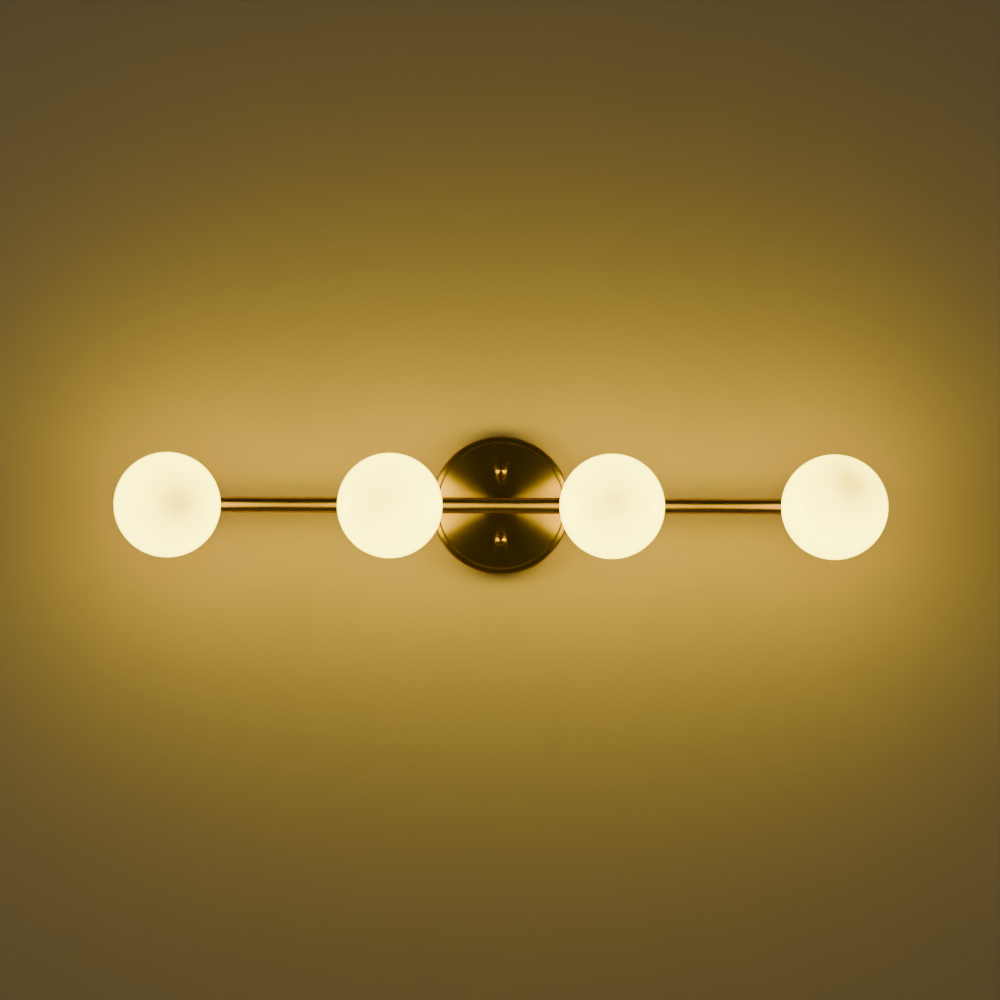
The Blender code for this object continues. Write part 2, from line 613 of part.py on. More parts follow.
def make_wiring(materials):
    """Sleeved twin lead for each lampholder, the terminal block they reach, and the ground lead."""
    for index, x in enumerate(cup_positions(), 1):
        make_lead(f"lamp_lead_{index}", lead_route(x), LEAD_RADIUS, materials["sleeve"])
    front = CANOPY_DEPTH - CANOPY_SHEET - GAP
    height = BLOCK_HALF_HEIGHT
    body = block(BLOCK_INNER_X, BLOCK_OUTER_X, -height, height, BLOCK_BACK, front)
    bmesh.ops.bevel(body, geom=body.edges[:], offset=0.8 * MM, segments=1, affect="EDGES")
    terminal_block = make_object("terminal_block", body, materials["plastic"])
    for pole in (-1, 0, 1):
        bore = turn_to_x(rod(POLE_BORE, BLOCK_INNER_X - 2 * MM, BLOCK_OUTER_X + 2 * MM, 10))
        place = (0, -POLE_DEPTH, pole * POLE_SPACING)
        tool = make_object(f"terminal_bore_{pole + 2}", bore, None, place)
        apply_tool(terminal_block, tool, "DIFFERENCE")
    screw_x = (GROUND_SCREW_HEAD_RADIUS + GAP) / MM
    route = [(24, 13.5, 0), (19.5, 13.7, 0.4), (16.8, 14.2, 4.2), (14.8, 12.4, 9.4)]
    route += [(10.5, 8.0, 12.8), (7.0, 4.6, 13.8), (screw_x + 0.3, 3.4, 14)]
    make_lead("ground_lead", route, GROUND_LEAD_RADIUS, materials["ground"])


def build():
    clear_scene()
    materials = make_materials()
    make_bracket(materials)
    make_canopy(materials)
    make_stem(materials)
    make_bar(materials)
    for index, x in enumerate(cup_positions(), 1):
        make_cup(index, x, materials)
        make_gallery_ring(index, x, materials)
        make_globe(index, x, materials)
        make_lampholder(index, x, materials)
        make_lamp(index, x, materials)
    make_wiring(materials)


build()
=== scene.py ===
"""Looks of a vanity light bar: four lit opal globes on a brushed brass bar with a round canopy.

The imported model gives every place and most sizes. Each sub-assembly below builds smooth pieces that
stand for its own solids, dresses them and lets them ride on the body that carries those solids. All
lengths are in metres. A turned piece is drawn as corners of (radius, depth, fillet), where the depth is
the distance out from the wall.
"""

from __future__ import annotations

import logging
import math
from collections.abc import Iterable, Sequence
from dataclasses import dataclass, field
from enum import Enum

import bmesh
import bpy
from mathutils import Matrix, Vector

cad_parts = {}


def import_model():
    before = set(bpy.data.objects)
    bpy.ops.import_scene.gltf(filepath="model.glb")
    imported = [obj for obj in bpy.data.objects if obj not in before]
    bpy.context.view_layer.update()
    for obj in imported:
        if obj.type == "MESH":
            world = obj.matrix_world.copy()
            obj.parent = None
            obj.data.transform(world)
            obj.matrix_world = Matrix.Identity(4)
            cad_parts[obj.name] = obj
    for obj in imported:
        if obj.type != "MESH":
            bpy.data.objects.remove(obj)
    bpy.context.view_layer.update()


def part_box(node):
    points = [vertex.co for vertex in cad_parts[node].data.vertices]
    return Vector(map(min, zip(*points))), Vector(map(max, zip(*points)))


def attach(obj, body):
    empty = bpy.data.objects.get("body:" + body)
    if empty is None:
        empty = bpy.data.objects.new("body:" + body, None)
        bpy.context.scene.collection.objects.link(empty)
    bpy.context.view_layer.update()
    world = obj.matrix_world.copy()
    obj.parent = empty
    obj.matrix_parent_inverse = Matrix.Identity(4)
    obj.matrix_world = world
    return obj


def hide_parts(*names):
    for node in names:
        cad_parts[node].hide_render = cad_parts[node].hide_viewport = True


LOG = logging.getLogger("vanity_light")
MM = 0.001

Corner = tuple[float, float, float]
Place = tuple[float, float, float]
Point = tuple[float, float]
Colour = tuple[float, float, float]


class Facing(Enum):
    """Where a turned shape's axis points: out of the wall, or one way or the other along the bar."""

    OUTWARD = ((1, 0, 0), (0, 0, -1), (0, 1, 0))
    RIGHT = ((0, 0, 1), (1, 0, 0), (0, 1, 0))
    LEFT = ((0, 0, -1), (-1, 0, 0), (0, 1, 0))

    def matrix(self, origin: Vector) -> Matrix:
        """Gives the matrix that puts a shape's own (across, up, depth) space in its place.

        Args:
            origin: The point where the shape's axis starts.

        Returns:
            A rotation followed by the move to the origin.
        """
        return Matrix.Translation(origin) @ Matrix(self.value).to_4x4()


# ---------------------------------------------------------------------------------------------------
# Shapes


def fillet(corners: Sequence[Corner], closed: bool) -> list[Point]:
    """Rounds the corners of a profile.

    Args:
        corners: Each corner's radius, depth and fillet radius, all in metres.
        closed: Whether the last corner joins the first.

    Returns:
        The profile's points, with an arc in place of every corner that has a fillet.
    """
    count = len(corners)
    points: list[Point] = []
    for index, (radius, depth, round_radius) in enumerate(corners):
        here = Vector((radius, depth))
        end = not closed and index in (0, count - 1)
        if round_radius <= 0 or end:
            points.append((radius, depth))
            continue
        before = Vector(corners[index - 1][:2]) - here
        after = Vector(corners[(index + 1) % count][:2]) - here
        half = before.angle(after) / 2
        reach = min(round_radius / math.tan(half), before.length * 0.49, after.length * 0.49)
        real = reach * math.tan(half)
        centre = here + (before.normalized() + after.normalized()).normalized() * (real / math.sin(half))
        start = here + before.normalized() * reach - centre
        stop = here + after.normalized() * reach - centre
        sweep = start.angle_signed(stop)
        steps = max(2, math.ceil(abs(sweep) / math.radians(15)))
        for step in range(steps + 1):
            turned = Matrix.Rotation(-sweep * step / steps, 2) @ start
            points.append((centre.x + turned.x, centre.y + turned.y))
    return points


def arc(radius: float, centre_depth: float, start: float, stop: float, steps: int) -> list[Corner]:
    """Samples a circle about a point on the axis.

    Args:
        radius: The circle's radius.
        centre_depth: The centre's depth on the axis.
        start: The first angle in degrees, 0 outwards from the axis and 90 away from the wall.
        stop: The last angle in degrees.
        steps: The number of chords.

    Returns:
        Corners with no fillet, ready to stand in a profile.
    """
    corners = []
    for step in range(steps + 1):
        angle = math.radians(start + (stop - start) * step / steps)
        across = max(radius * math.cos(angle), 0.0)
        across = 0.0 if across < 1e-7 else across
        corners.append((across, centre_depth + radius * math.sin(angle), 0.0))
    return corners


def turned(corners: Sequence[Corner], closed: bool, segments: int = 96) -> bmesh.types.BMesh:
    """Revolves a profile and unwraps it, u around the axis and v along the profile in metres.

    Args:
        corners: The profile's corners with their fillets.
        closed: Whether the profile is a ring. One that isn't starts and ends on the axis.
        segments: The number of facets round the axis.

    Returns:
        The closed shape in its own (across, up, depth) space.
    """
    profile = fillet(corners, closed)
    shape = bmesh.new()
    unwrap = shape.loops.layers.uv.new("UVMap")
    rings = []
    for radius, depth in profile:
        if radius == 0:
            rings.append([shape.verts.new((0, 0, depth))] * segments)
            continue
        ring = []
        for segment in range(segments):
            angle = 2 * math.pi * segment / segments
            ring.append(shape.verts.new((radius * math.cos(angle), radius * math.sin(angle), depth)))
        rings.append(ring)
    stretch = [0.0]
    for here, there in zip(profile, profile[1:] + profile[:1]):
        stretch.append(stretch[-1] + math.dist(here, there))
    bands = len(profile) if closed else len(profile) - 1
    for band in range(bands):
        low, high = rings[band], rings[(band + 1) % len(rings)]
        if low[0] is low[1] and high[0] is high[1]:
            continue
        for segment in range(segments):
            after = (segment + 1) % segments
            quad = ((low[segment], 0, 0), (low[after], 1, 0), (high[after], 1, 1), (high[segment], 0, 1))
            corner_places = {vertex: (u, v) for vertex, u, v in quad}
            face = shape.faces.new(list(corner_places))
            for loop in face.loops:
                along, up = corner_places[loop.vert]
                loop[unwrap].uv = ((segment + along) / segments, stretch[band + up])
    return shape


def slab(outline: Sequence[Point], low: float, high: float) -> bmesh.types.BMesh:
    """Extrudes an outline of (across, up) points between two depths."""
    shape = bmesh.new()
    shape.loops.layers.uv.new("UVMap")
    face = shape.faces.new([shape.verts.new((x, y, low)) for x, y in outline])
    grown = bmesh.ops.extrude_face_region(shape, geom=[face])
    moved = [item for item in grown["geom"] if isinstance(item, bmesh.types.BMVert)]
    bmesh.ops.translate(shape, verts=moved, vec=(0, 0, high - low))
    return shape


def soften(shape: bmesh.types.BMesh, width: float, steps: int = 2, angle: float = 30) -> bmesh.types.BMesh:
    """Bevels every edge that turns by more than an angle in degrees."""
    bmesh.ops.recalc_face_normals(shape, faces=shape.faces)
    sharp = [e for e in shape.edges if e.is_manifold and e.calc_face_angle(0) > math.radians(angle)]
    bmesh.ops.bevel(shape, geom=sharp, offset=width, segments=steps, profile=0.5, affect="EDGES")
    return shape


def strap_outline(half_length: float, radius: float, steps: int = 16) -> list[Point]:
    """Gives a vertical strap or slot with round ends, centred on the origin."""
    outline = []
    for centre, start in ((half_length - radius, 0), (radius - half_length, 180)):
        for step in range(steps + 1):
            angle = math.radians(start + 180 * step / steps)
            outline.append((radius * math.cos(angle), centre + radius * math.sin(angle)))
    return outline


def hexagon(flats: float) -> list[Point]:
    """Gives a hexagon's corners from its width across flats, with flats at top and bottom."""
    corner = flats / 2 / math.cos(math.radians(30))
    turns = [math.radians(60 * side) for side in range(6)]
    return [(corner * math.cos(turn), corner * math.sin(turn)) for turn in turns]


def oblong(left: float, right: float, bottom: float, top: float) -> list[Point]:
    """Gives a rectangle's four corners."""
    return [(left, bottom), (right, bottom), (right, top), (left, top)]


def smooth_path(points: Sequence[Sequence[float]], samples: int = 8) -> list[Vector]:
    """Runs a Catmull-Rom curve through points.

    Args:
        points: The points that the curve passes through.
        samples: The number of stretches between two of them.

    Returns:
        Points close enough together for a smooth tube.
    """
    route = [Vector(point) for point in points]
    padded = [2 * route[0] - route[1], *route, 2 * route[-1] - route[-2]]
    path = []
    for a, b, c, d in zip(padded, padded[1:], padded[2:], padded[3:]):
        for sample in range(samples):
            t = sample / samples
            bend = 2 * a - 5 * b + 4 * c - d
            twist = 3 * b - a - 3 * c + d
            path.append(0.5 * (2 * b + (c - a) * t + bend * t**2 + twist * t**3))
    path.append(route[-1])
    return path


# ---------------------------------------------------------------------------------------------------
# Geometry Nodes


class GeometryTree:
    """A Geometry Nodes tree in the making, with named inputs and one geometry output."""

    def __init__(self, name: str, sizes: dict[str, float], takes_geometry: bool = False) -> None:
        """Starts the tree.

        Args:
            name: The tree's name.
            sizes: Each size input's name and its usual value. A whole number makes an integer input.
            takes_geometry: Whether the tree works on the modified object's own geometry.
        """
        self.tree = bpy.data.node_groups.new(name, "GeometryNodeTree")
        face = self.tree.interface
        if takes_geometry:
            face.new_socket("Geometry", in_out="INPUT", socket_type="NodeSocketGeometry")
        for title, value in sizes.items():
            kind = "NodeSocketInt" if isinstance(value, int) else "NodeSocketFloat"
            face.new_socket(title, in_out="INPUT", socket_type=kind).default_value = value
        face.new_socket("Material", in_out="INPUT", socket_type="NodeSocketMaterial")
        face.new_socket("Geometry", in_out="OUTPUT", socket_type="NodeSocketGeometry")
        self.inputs = self.node("NodeGroupInput").outputs

    def node(self, kind: str, **values: object) -> bpy.types.Node:
        """Adds a node and sets its properties by name."""
        made = self.tree.nodes.new(kind)
        for name, value in values.items():
            setattr(made, name, value)
        return made

    def feed(self, node: bpy.types.Node, **sources: object) -> bpy.types.Node:
        """Links sockets, or sets values, on a node's inputs.

        Args:
            node: The node that is fed.
            sources: Each input's name with _ for a space, and an output socket or a plain value.

        Returns:
            The same node.
        """
        for name, source in sources.items():
            socket = node.inputs[name.replace("_", " ")]
            if isinstance(source, bpy.types.NodeSocket):
                self.tree.links.new(source, socket)
            else:
                socket.default_value = source
        return node

    def sum_up(self, operation: str, first: object, second: object) -> bpy.types.NodeSocket:
        """Adds a Math node and gives its result."""
        made = self.node("ShaderNodeMath", operation=operation)
        for index, source in enumerate((first, second)):
            if isinstance(source, bpy.types.NodeSocket):
                self.tree.links.new(source, made.inputs[index])
            else:
                made.inputs[index].default_value = source
        return made.outputs[0]

    def close(self, geometry: bpy.types.NodeSocket) -> bpy.types.NodeTree:
        """Ends the tree in Realize Instances and Set Material."""
        real = self.feed(self.node("GeometryNodeRealizeInstances"), Geometry=geometry)
        dressed = self.node("GeometryNodeSetMaterial")
        self.feed(dressed, Geometry=real.outputs[0], Material=self.inputs["Material"])
        self.feed(self.node("NodeGroupOutput"), Geometry=dressed.outputs[0])
        return self.tree


def thread_tree() -> bpy.types.NodeTree:
    """Makes the tree that winds one round bead along a right-hand helix about the depth axis."""
    sizes = {"Radius": 0.005, "Pitch": 0.001, "Turns": 5.0, "Bead": 0.0004, "Sides": 8}
    tree = GeometryTree("screw_thread", sizes)
    rise = tree.sum_up("MULTIPLY", tree.inputs["Pitch"], tree.inputs["Turns"])
    helix = tree.node("GeometryNodeCurveSpiral")
    tree.feed(helix, Resolution=64, Rotations=tree.inputs["Turns"], Height=rise)
    tree.feed(helix, Start_Radius=tree.inputs["Radius"], End_Radius=tree.inputs["Radius"], Reverse=True)
    bead = tree.node("GeometryNodeCurvePrimitiveCircle")
    tree.feed(bead, Resolution=tree.inputs["Sides"], Radius=tree.inputs["Bead"])
    swept = tree.node("GeometryNodeCurveToMesh")
    tree.feed(swept, Curve=helix.outputs[0], Profile_Curve=bead.outputs[0], Fill_Caps=True)
    return tree.close(swept.outputs[0])


def wire_tree() -> bpy.types.NodeTree:
    """Makes the tree that sweeps a round skin along a path and stores where each point lies on it."""
    tree = GeometryTree("wire_skin", {"Radius": 0.001, "Sides": 20}, takes_geometry=True)
    path = tree.node("GeometryNodeMeshToCurve")
    tree.feed(path, Mesh=tree.inputs["Geometry"])
    run = tree.node("GeometryNodeSplineParameter")
    marked = tree.node("GeometryNodeStoreNamedAttribute", data_type="FLOAT", domain="POINT")
    tree.feed(marked, Geometry=path.outputs[0], Name="along", Value=run.outputs["Length"])
    ring = tree.node("GeometryNodeCurvePrimitiveCircle")
    tree.feed(ring, Resolution=tree.inputs["Sides"], Radius=tree.inputs["Radius"])
    place = tree.node("GeometryNodeInputPosition")
    wrapped = tree.node("GeometryNodeStoreNamedAttribute", data_type="FLOAT_VECTOR", domain="POINT")
    tree.feed(wrapped, Geometry=ring.outputs[0], Name="around", Value=place.outputs[0])
    swept = tree.node("GeometryNodeCurveToMesh")
    tree.feed(swept, Curve=marked.outputs[0], Profile_Curve=wrapped.outputs[0], Fill_Caps=True)
    return tree.close(swept.outputs[0])


def diode_tree() -> bpy.types.NodeTree:
    """Makes the tree that seats rows of small diodes round a lamp's core, each facing outwards."""
    sizes = {"Radius": 0.004, "Length": 0.02, "Columns": 8, "Rows": 6, "Diode": 0.0018}
    tree = GeometryTree("diode_rows", sizes)
    rows = tree.sum_up("SUBTRACT", tree.inputs["Rows"], 1)
    core = tree.node("GeometryNodeMeshCylinder", fill_type="NONE")
    tree.feed(core, Vertices=tree.inputs["Columns"], Side_Segments=rows)
    tree.feed(core, Radius=tree.inputs["Radius"], Depth=tree.inputs["Length"])
    normal = tree.node("GeometryNodeInputNormal")
    outward = tree.node("FunctionNodeAlignRotationToVector", axis="Z")
    tree.feed(outward, Vector=normal.outputs[0])
    upright = tree.node("FunctionNodeAlignRotationToVector", axis="X", pivot_axis="Z")
    tree.feed(upright, Rotation=outward.outputs[0], Vector=(0, 0, 1))
    flat = tree.sum_up("MULTIPLY", tree.inputs["Diode"], 0.35)
    size = tree.node("ShaderNodeCombineXYZ")
    tree.feed(size, X=tree.inputs["Diode"], Y=tree.inputs["Diode"], Z=flat)
    diode = tree.feed(tree.node("GeometryNodeMeshCube"), Size=size.outputs[0])
    seated = tree.node("GeometryNodeInstanceOnPoints")
    tree.feed(seated, Points=core.outputs["Mesh"], Instance=diode.outputs["Mesh"])
    tree.feed(seated, Rotation=upright.outputs[0])
    return tree.close(seated.outputs[0])


def grow(tree: bpy.types.NodeTree, material: bpy.types.Material, base: bpy.types.Mesh | None = None,
         **sizes: float) -> bpy.types.Mesh:
    """Runs a Geometry Nodes tree once and gives the plain mesh that it makes.

    Args:
        tree: The tree to run.
        material: What its faces are dressed in.
        base: The mesh that the tree works on, if it takes one.
        sizes: Each input's name with _ for a space, and its value.

    Returns:
        A mesh with no modifier or instance left.
    """
    holder = bpy.data.objects.new("grower", base or bpy.data.meshes.new("grower"))
    bpy.context.scene.collection.objects.link(holder)
    modifier = holder.modifiers.new("grow", "NODES")
    modifier.node_group = tree
    values = {name.replace("_", " "): value for name, value in sizes.items()}
    values["Material"] = material
    for item in tree.interface.items_tree:
        if item.in_out == "INPUT" and item.name in values:
            modifier[item.identifier] = values[item.name]
    holder.update_tag()
    graph = bpy.context.evaluated_depsgraph_get()
    made = bpy.data.meshes.new_from_object(holder.evaluated_get(graph), depsgraph=graph)
    bpy.data.objects.remove(holder)
    return made


# ---------------------------------------------------------------------------------------------------
# Pieces


class Piece:
    """One finished piece, put together from shapes that each have their own finish."""

    def __init__(self, name: str) -> None:
        """Starts an empty piece with this name."""
        self.name = name
        self.shape = bmesh.new()
        self.materials: list[bpy.types.Material] = []

    def add(self, part: bmesh.types.BMesh | bpy.types.Mesh, material: bpy.types.Material,
            place: Matrix, cuts: Iterable[tuple[bmesh.types.BMesh, Matrix]] = ()) -> Piece:
        """Adds a shape in its place.

        Args:
            part: The shape, in its own (across, up, depth) space.
            material: What the shape is dressed in.
            place: The matrix that puts it in the frame.
            cuts: Shapes and their places, cut out of this one first.

        Returns:
            The same piece, so that calls can follow each other.
        """
        mesh = settle(part, place)
        cutters = [settle(cutter, where) for cutter, where in cuts]
        if cutters:
            mesh = carve(mesh, cutters)
        if material not in self.materials:
            self.materials.append(material)
        mesh.materials.clear()
        first = len(self.shape.faces)
        self.shape.from_mesh(mesh)
        self.shape.faces.ensure_lookup_table()
        for face in self.shape.faces[first:]:
            face.material_index = self.materials.index(material)
        bpy.data.meshes.remove(mesh)
        return self

    def finish(self, body: str, slot: str, *nodes: str, crease: float = 32) -> bpy.types.Object:
        """Makes the object, shades it smooth and ties it to its body.

        Args:
            body: The body that it rides on.
            slot: The record's material slot for its finish. It is not used.
            nodes: The solids that it stands for.
            crease: The angle in degrees past which an edge stays sharp.

        Returns:
            The finished object, with its origin at the frame's origin.
        """
        mesh = bpy.data.meshes.new(self.name)
        self.shape.to_mesh(mesh)
        self.shape.free()
        mesh.shade_smooth()
        mesh.set_sharp_from_angle(angle=math.radians(crease))
        for material in self.materials:
            mesh.materials.append(material)
        made = bpy.data.objects.new(self.name, mesh)
        bpy.context.scene.collection.objects.link(made)
        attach(made, body)
        if nodes:
            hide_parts(*nodes)
        LOG.info("%s: %d faces on %s", self.name, len(mesh.polygons), body)
        return made


def settle(part: bmesh.types.BMesh | bpy.types.Mesh, place: Matrix) -> bpy.types.Mesh:
    """Gives a shape as a mesh in its place, with its faces outwards."""
    shape = part
    if isinstance(part, bpy.types.Mesh):
        shape = bmesh.new()
        shape.from_mesh(part)
    bmesh.ops.remove_doubles(shape, verts=shape.verts, dist=1e-7)
    bmesh.ops.recalc_face_normals(shape, faces=shape.faces)
    bmesh.ops.transform(shape, matrix=place, verts=shape.verts)
    mesh = bpy.data.meshes.new("settled")
    shape.to_mesh(mesh)
    shape.free()
    return mesh


def carve(mesh: bpy.types.Mesh, cutters: Iterable[bpy.types.Mesh]) -> bpy.types.Mesh:
    """Cuts meshes out of another with exact Booleans and gives the result."""
    scene = bpy.context.scene.collection
    target = bpy.data.objects.new("carved", mesh)
    scene.objects.link(target)
    tools = []
    for cutter in cutters:
        tool = bpy.data.objects.new("cutter", cutter)
        scene.objects.link(tool)
        tools.append(tool)
        modifier = target.modifiers.new("cut", "BOOLEAN")
        modifier.operation = "DIFFERENCE"
        modifier.solver = "EXACT"
        modifier.object = tool
    graph = bpy.context.evaluated_depsgraph_get()
    made = bpy.data.meshes.new_from_object(target.evaluated_get(graph), depsgraph=graph)
    for item in (target, *tools):
        bpy.data.objects.remove(item)
    return made


@dataclass(frozen=True)
class Extent:
    """A solid's box: its depths from the wall, half its width and height, and its axis on the wall."""

    back: float
    front: float
    across: float
    up: float
    axis: Vector

    @classmethod
    def of(cls, node: str) -> Extent:
        """Reads a solid's box."""
        low, high = map(Vector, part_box(node))
        centre, half = (low + high) / 2, (high - low) / 2
        return cls(-high.y, -low.y, half.x, half.z, Vector((centre.x, 0, centre.z)))

    @property
    def place(self) -> Matrix:
        """Gives the matrix that puts a shape on the solid's own axis."""
        return Facing.OUTWARD.matrix(self.axis)


# ---------------------------------------------------------------------------------------------------
# Finishes


class ShaderTree:
    """A shader node tree in the making: a material's own, or a group's."""

    def __init__(self, tree: bpy.types.NodeTree) -> None:
        """Wraps a node tree."""
        self.tree = tree

    def node(self, kind: str, **values: object) -> bpy.types.Node:
        """Adds a node and sets its properties by name."""
        made = self.tree.nodes.new(kind)
        for name, value in values.items():
            setattr(made, name, value)
        return made

    def feed(self, node: bpy.types.Node, sources: dict[str | int, object]) -> bpy.types.Node:
        """Links sockets, or sets values, on a node's inputs by name or number, and gives the node."""
        for name, source in sources.items():
            socket = node.inputs[name]
            if isinstance(source, bpy.types.NodeSocket):
                self.tree.links.new(source, socket)
            else:
                socket.default_value = source
        return node

    def reckon(self, operation: str, *sources: object) -> bpy.types.NodeSocket:
        """Adds a Math node on these sources and gives its result."""
        made = self.node("ShaderNodeMath", operation=operation)
        self.feed(made, dict(enumerate(sources)))
        return made.outputs[0]

    def ramp(self, source: object, low: float, high: float, at_low: float, at_high: float
             ) -> bpy.types.NodeSocket:
        """Maps a value smoothly from one range to another.

        Args:
            source: The value's socket.
            low: The value that gives at_low, and so does all below it.
            high: The value that gives at_high, and so does all above it.
            at_low: The result at low.
            at_high: The result at high.

        Returns:
            The mapped value's socket.
        """
        made = self.node("ShaderNodeMapRange", interpolation_type="SMOOTHSTEP")
        self.feed(made, {0: source, 1: low, 2: high, 3: at_low, 4: at_high})
        return made.outputs[0]

    def blend(self, share: object, first: object, second: object) -> bpy.types.NodeSocket:
        """Mixes two colours and gives the result."""
        made = self.node("ShaderNodeMix", data_type="RGBA")
        whole = {name: (*c, 1) if isinstance(c, tuple) else c for name, c in ((6, first), (7, second))}
        self.feed(made, {0: share, **whole})
        return made.outputs[2]

    def sized(self, vector: object, size: object) -> bpy.types.NodeSocket:
        """Divides a vector by a size, so that a texture's features come out that big."""
        made = self.node("ShaderNodeVectorMath", operation="SCALE")
        self.feed(made, {0: vector, "Scale": self.reckon("DIVIDE", 1.0, size)})
        return made.outputs[0]

    def wire_angle(self) -> bpy.types.NodeSocket:
        """Gives the angle round a wire, from the attribute that its skin carries."""
        around = self.node("ShaderNodeAttribute", attribute_name="around")
        split = self.feed(self.node("ShaderNodeSeparateXYZ"), {0: around.outputs["Vector"]})
        return self.reckon("ARCTAN2", split.outputs[1], split.outputs[0])

    def noise(self, vector: object, scale: float, detail: float = 2.0, roughness: float = 0.5
              ) -> bpy.types.NodeSocket:
        """Adds a noise texture and gives its value."""
        made = self.node("ShaderNodeTexNoise")
        self.feed(made, {"Vector": vector, "Scale": scale, "Detail": detail, "Roughness": roughness})
        return made.outputs[0]

    def bump(self, height: object, depth: float, strength: float = 1.0) -> bpy.types.NodeSocket:
        """Adds a Bump node, with its depth in metres, and gives its normal."""
        made = self.node("ShaderNodeBump")
        self.feed(made, {"Height": height, "Distance": depth, "Strength": strength})
        return made.outputs[0]


def shared_group(name: str, inputs: dict[str, float], outputs: dict[str, str]
                 ) -> tuple[ShaderTree, dict[str, bpy.types.NodeSocket]]:
    """Starts a shader node group, whose first input is a vector named Place.

    Args:
        name: The group's name.
        inputs: Each value input's name and usual value.
        outputs: Each output's name and socket type.

    Returns:
        The group's tree and its input sockets by name.
    """
    tree = bpy.data.node_groups.new(name, "ShaderNodeTree")
    tree.interface.new_socket("Place", in_out="INPUT", socket_type="NodeSocketVector")
    for title, value in inputs.items():
        tree.interface.new_socket(title, in_out="INPUT", socket_type="NodeSocketFloat").default_value = value
    for title, kind in outputs.items():
        tree.interface.new_socket(title, in_out="OUTPUT", socket_type=kind)
    shader = ShaderTree(tree)
    entry = shader.node("NodeGroupInput")
    shader.node("NodeGroupOutput")
    return shader, {socket.name: socket for socket in entry.outputs if socket.name}


def brushing_group() -> bpy.types.NodeTree:
    """Makes the fine lines that a belt leaves round a turned piece, from its own unwrap."""
    inputs = {"Lines": 9000.0, "Wander": 0.35}
    outputs = {"Grain": "NodeSocketFloat", "Streak": "NodeSocketFloat"}
    shader, taken = shared_group("brushed_lines", inputs, outputs)
    split = shader.feed(shader.node("ShaderNodeSeparateXYZ"), {0: taken["Place"]})
    angle = shader.reckon("MULTIPLY", split.outputs[0], 2 * math.pi)
    across = shader.reckon("MULTIPLY", shader.reckon("COSINE", angle), taken["Wander"])
    up = shader.reckon("MULTIPLY", shader.reckon("SINE", angle), taken["Wander"])
    lines = []
    for share in (1.0, 0.11):
        along = shader.reckon("MULTIPLY", split.outputs[1], shader.reckon("MULTIPLY", taken["Lines"], share))
        place = shader.feed(shader.node("ShaderNodeCombineXYZ"), {0: across, 1: up, 2: along})
        lines.append(shader.noise(place.outputs[0], 1.0, 3.0, 0.7))
    shader.feed(shader.tree.nodes["Group Output"], {"Grain": lines[0], "Streak": lines[1]})
    return shader.tree


def handling_group() -> bpy.types.NodeTree:
    """Makes the soft smudges of handling and the duller, darker film that collects with them."""
    inputs = {"Size": 0.03, "Base": 0.3, "Spread": 0.1}
    outputs = {"Roughness": "NodeSocketFloat", "Film": "NodeSocketFloat"}
    shader, taken = shared_group("handling", inputs, outputs)
    place = shader.sized(taken["Place"], taken["Size"])
    smudge = shader.noise(place, 1.0, 5.0, 0.62)
    centred = shader.reckon("SUBTRACT", smudge, 0.5)
    rough = shader.reckon("MULTIPLY_ADD", centred, taken["Spread"], taken["Base"])
    film = shader.ramp(smudge, 0.52, 0.72, 0.0, 1.0)
    shader.feed(shader.tree.nodes["Group Output"], {"Roughness": rough, "Film": film})
    return shader.tree


def grain_group() -> bpy.types.NodeTree:
    """Makes the even fine grain of moulded, fired or cast stuff, with sparse darker specks."""
    inputs = {"Size": 0.0004, "Rarity": 0.72}
    outputs = {"Height": "NodeSocketFloat", "Speck": "NodeSocketFloat"}
    shader, taken = shared_group("fine_grain", inputs, outputs)
    place = shader.sized(taken["Place"], taken["Size"])
    height = shader.noise(place, 1.0, 3.0, 0.6)
    cloud = shader.noise(place, 0.31, 2.0, 0.5)
    above = shader.reckon("SUBTRACT", cloud, taken["Rarity"])
    speck = shader.ramp(above, 0.0, 0.06, 0.0, 1.0)
    shader.feed(shader.tree.nodes["Group Output"], {"Height": height, "Speck": speck})
    return shader.tree


@dataclass(frozen=True)
class Groups:
    """The shader node groups that more than one finish uses."""

    brushing: bpy.types.NodeTree
    handling: bpy.types.NodeTree
    grain: bpy.types.NodeTree


@dataclass(frozen=True)
class Finish:
    """What every finish has: a name, a colour and the groups it draws on."""

    name: str
    colour: Colour
    groups: Groups

    def start(self) -> tuple[ShaderTree, bpy.types.Node, bpy.types.Material]:
        """Makes the material and gives its tree, its main shader and itself."""
        material = bpy.data.materials.new(self.name)
        material.use_nodes = True
        material.diffuse_color = (*self.colour, 1)
        shader = ShaderTree(material.node_tree)
        return shader, material.node_tree.nodes["Principled BSDF"], material

    def place(self, shader: ShaderTree, kind: str = "Object") -> bpy.types.NodeSocket:
        """Gives the texture coordinates of one kind."""
        return shader.node("ShaderNodeTexCoord").outputs[kind]

    def group(self, shader: ShaderTree, tree: bpy.types.NodeTree, place: object, **values: float
              ) -> dict[str, bpy.types.NodeSocket]:
        """Places a shared group and gives its outputs by name."""
        made = shader.node("ShaderNodeGroup", node_tree=tree)
        shader.feed(made, {"Place": place, **values})
        return {socket.name: socket for socket in made.outputs}


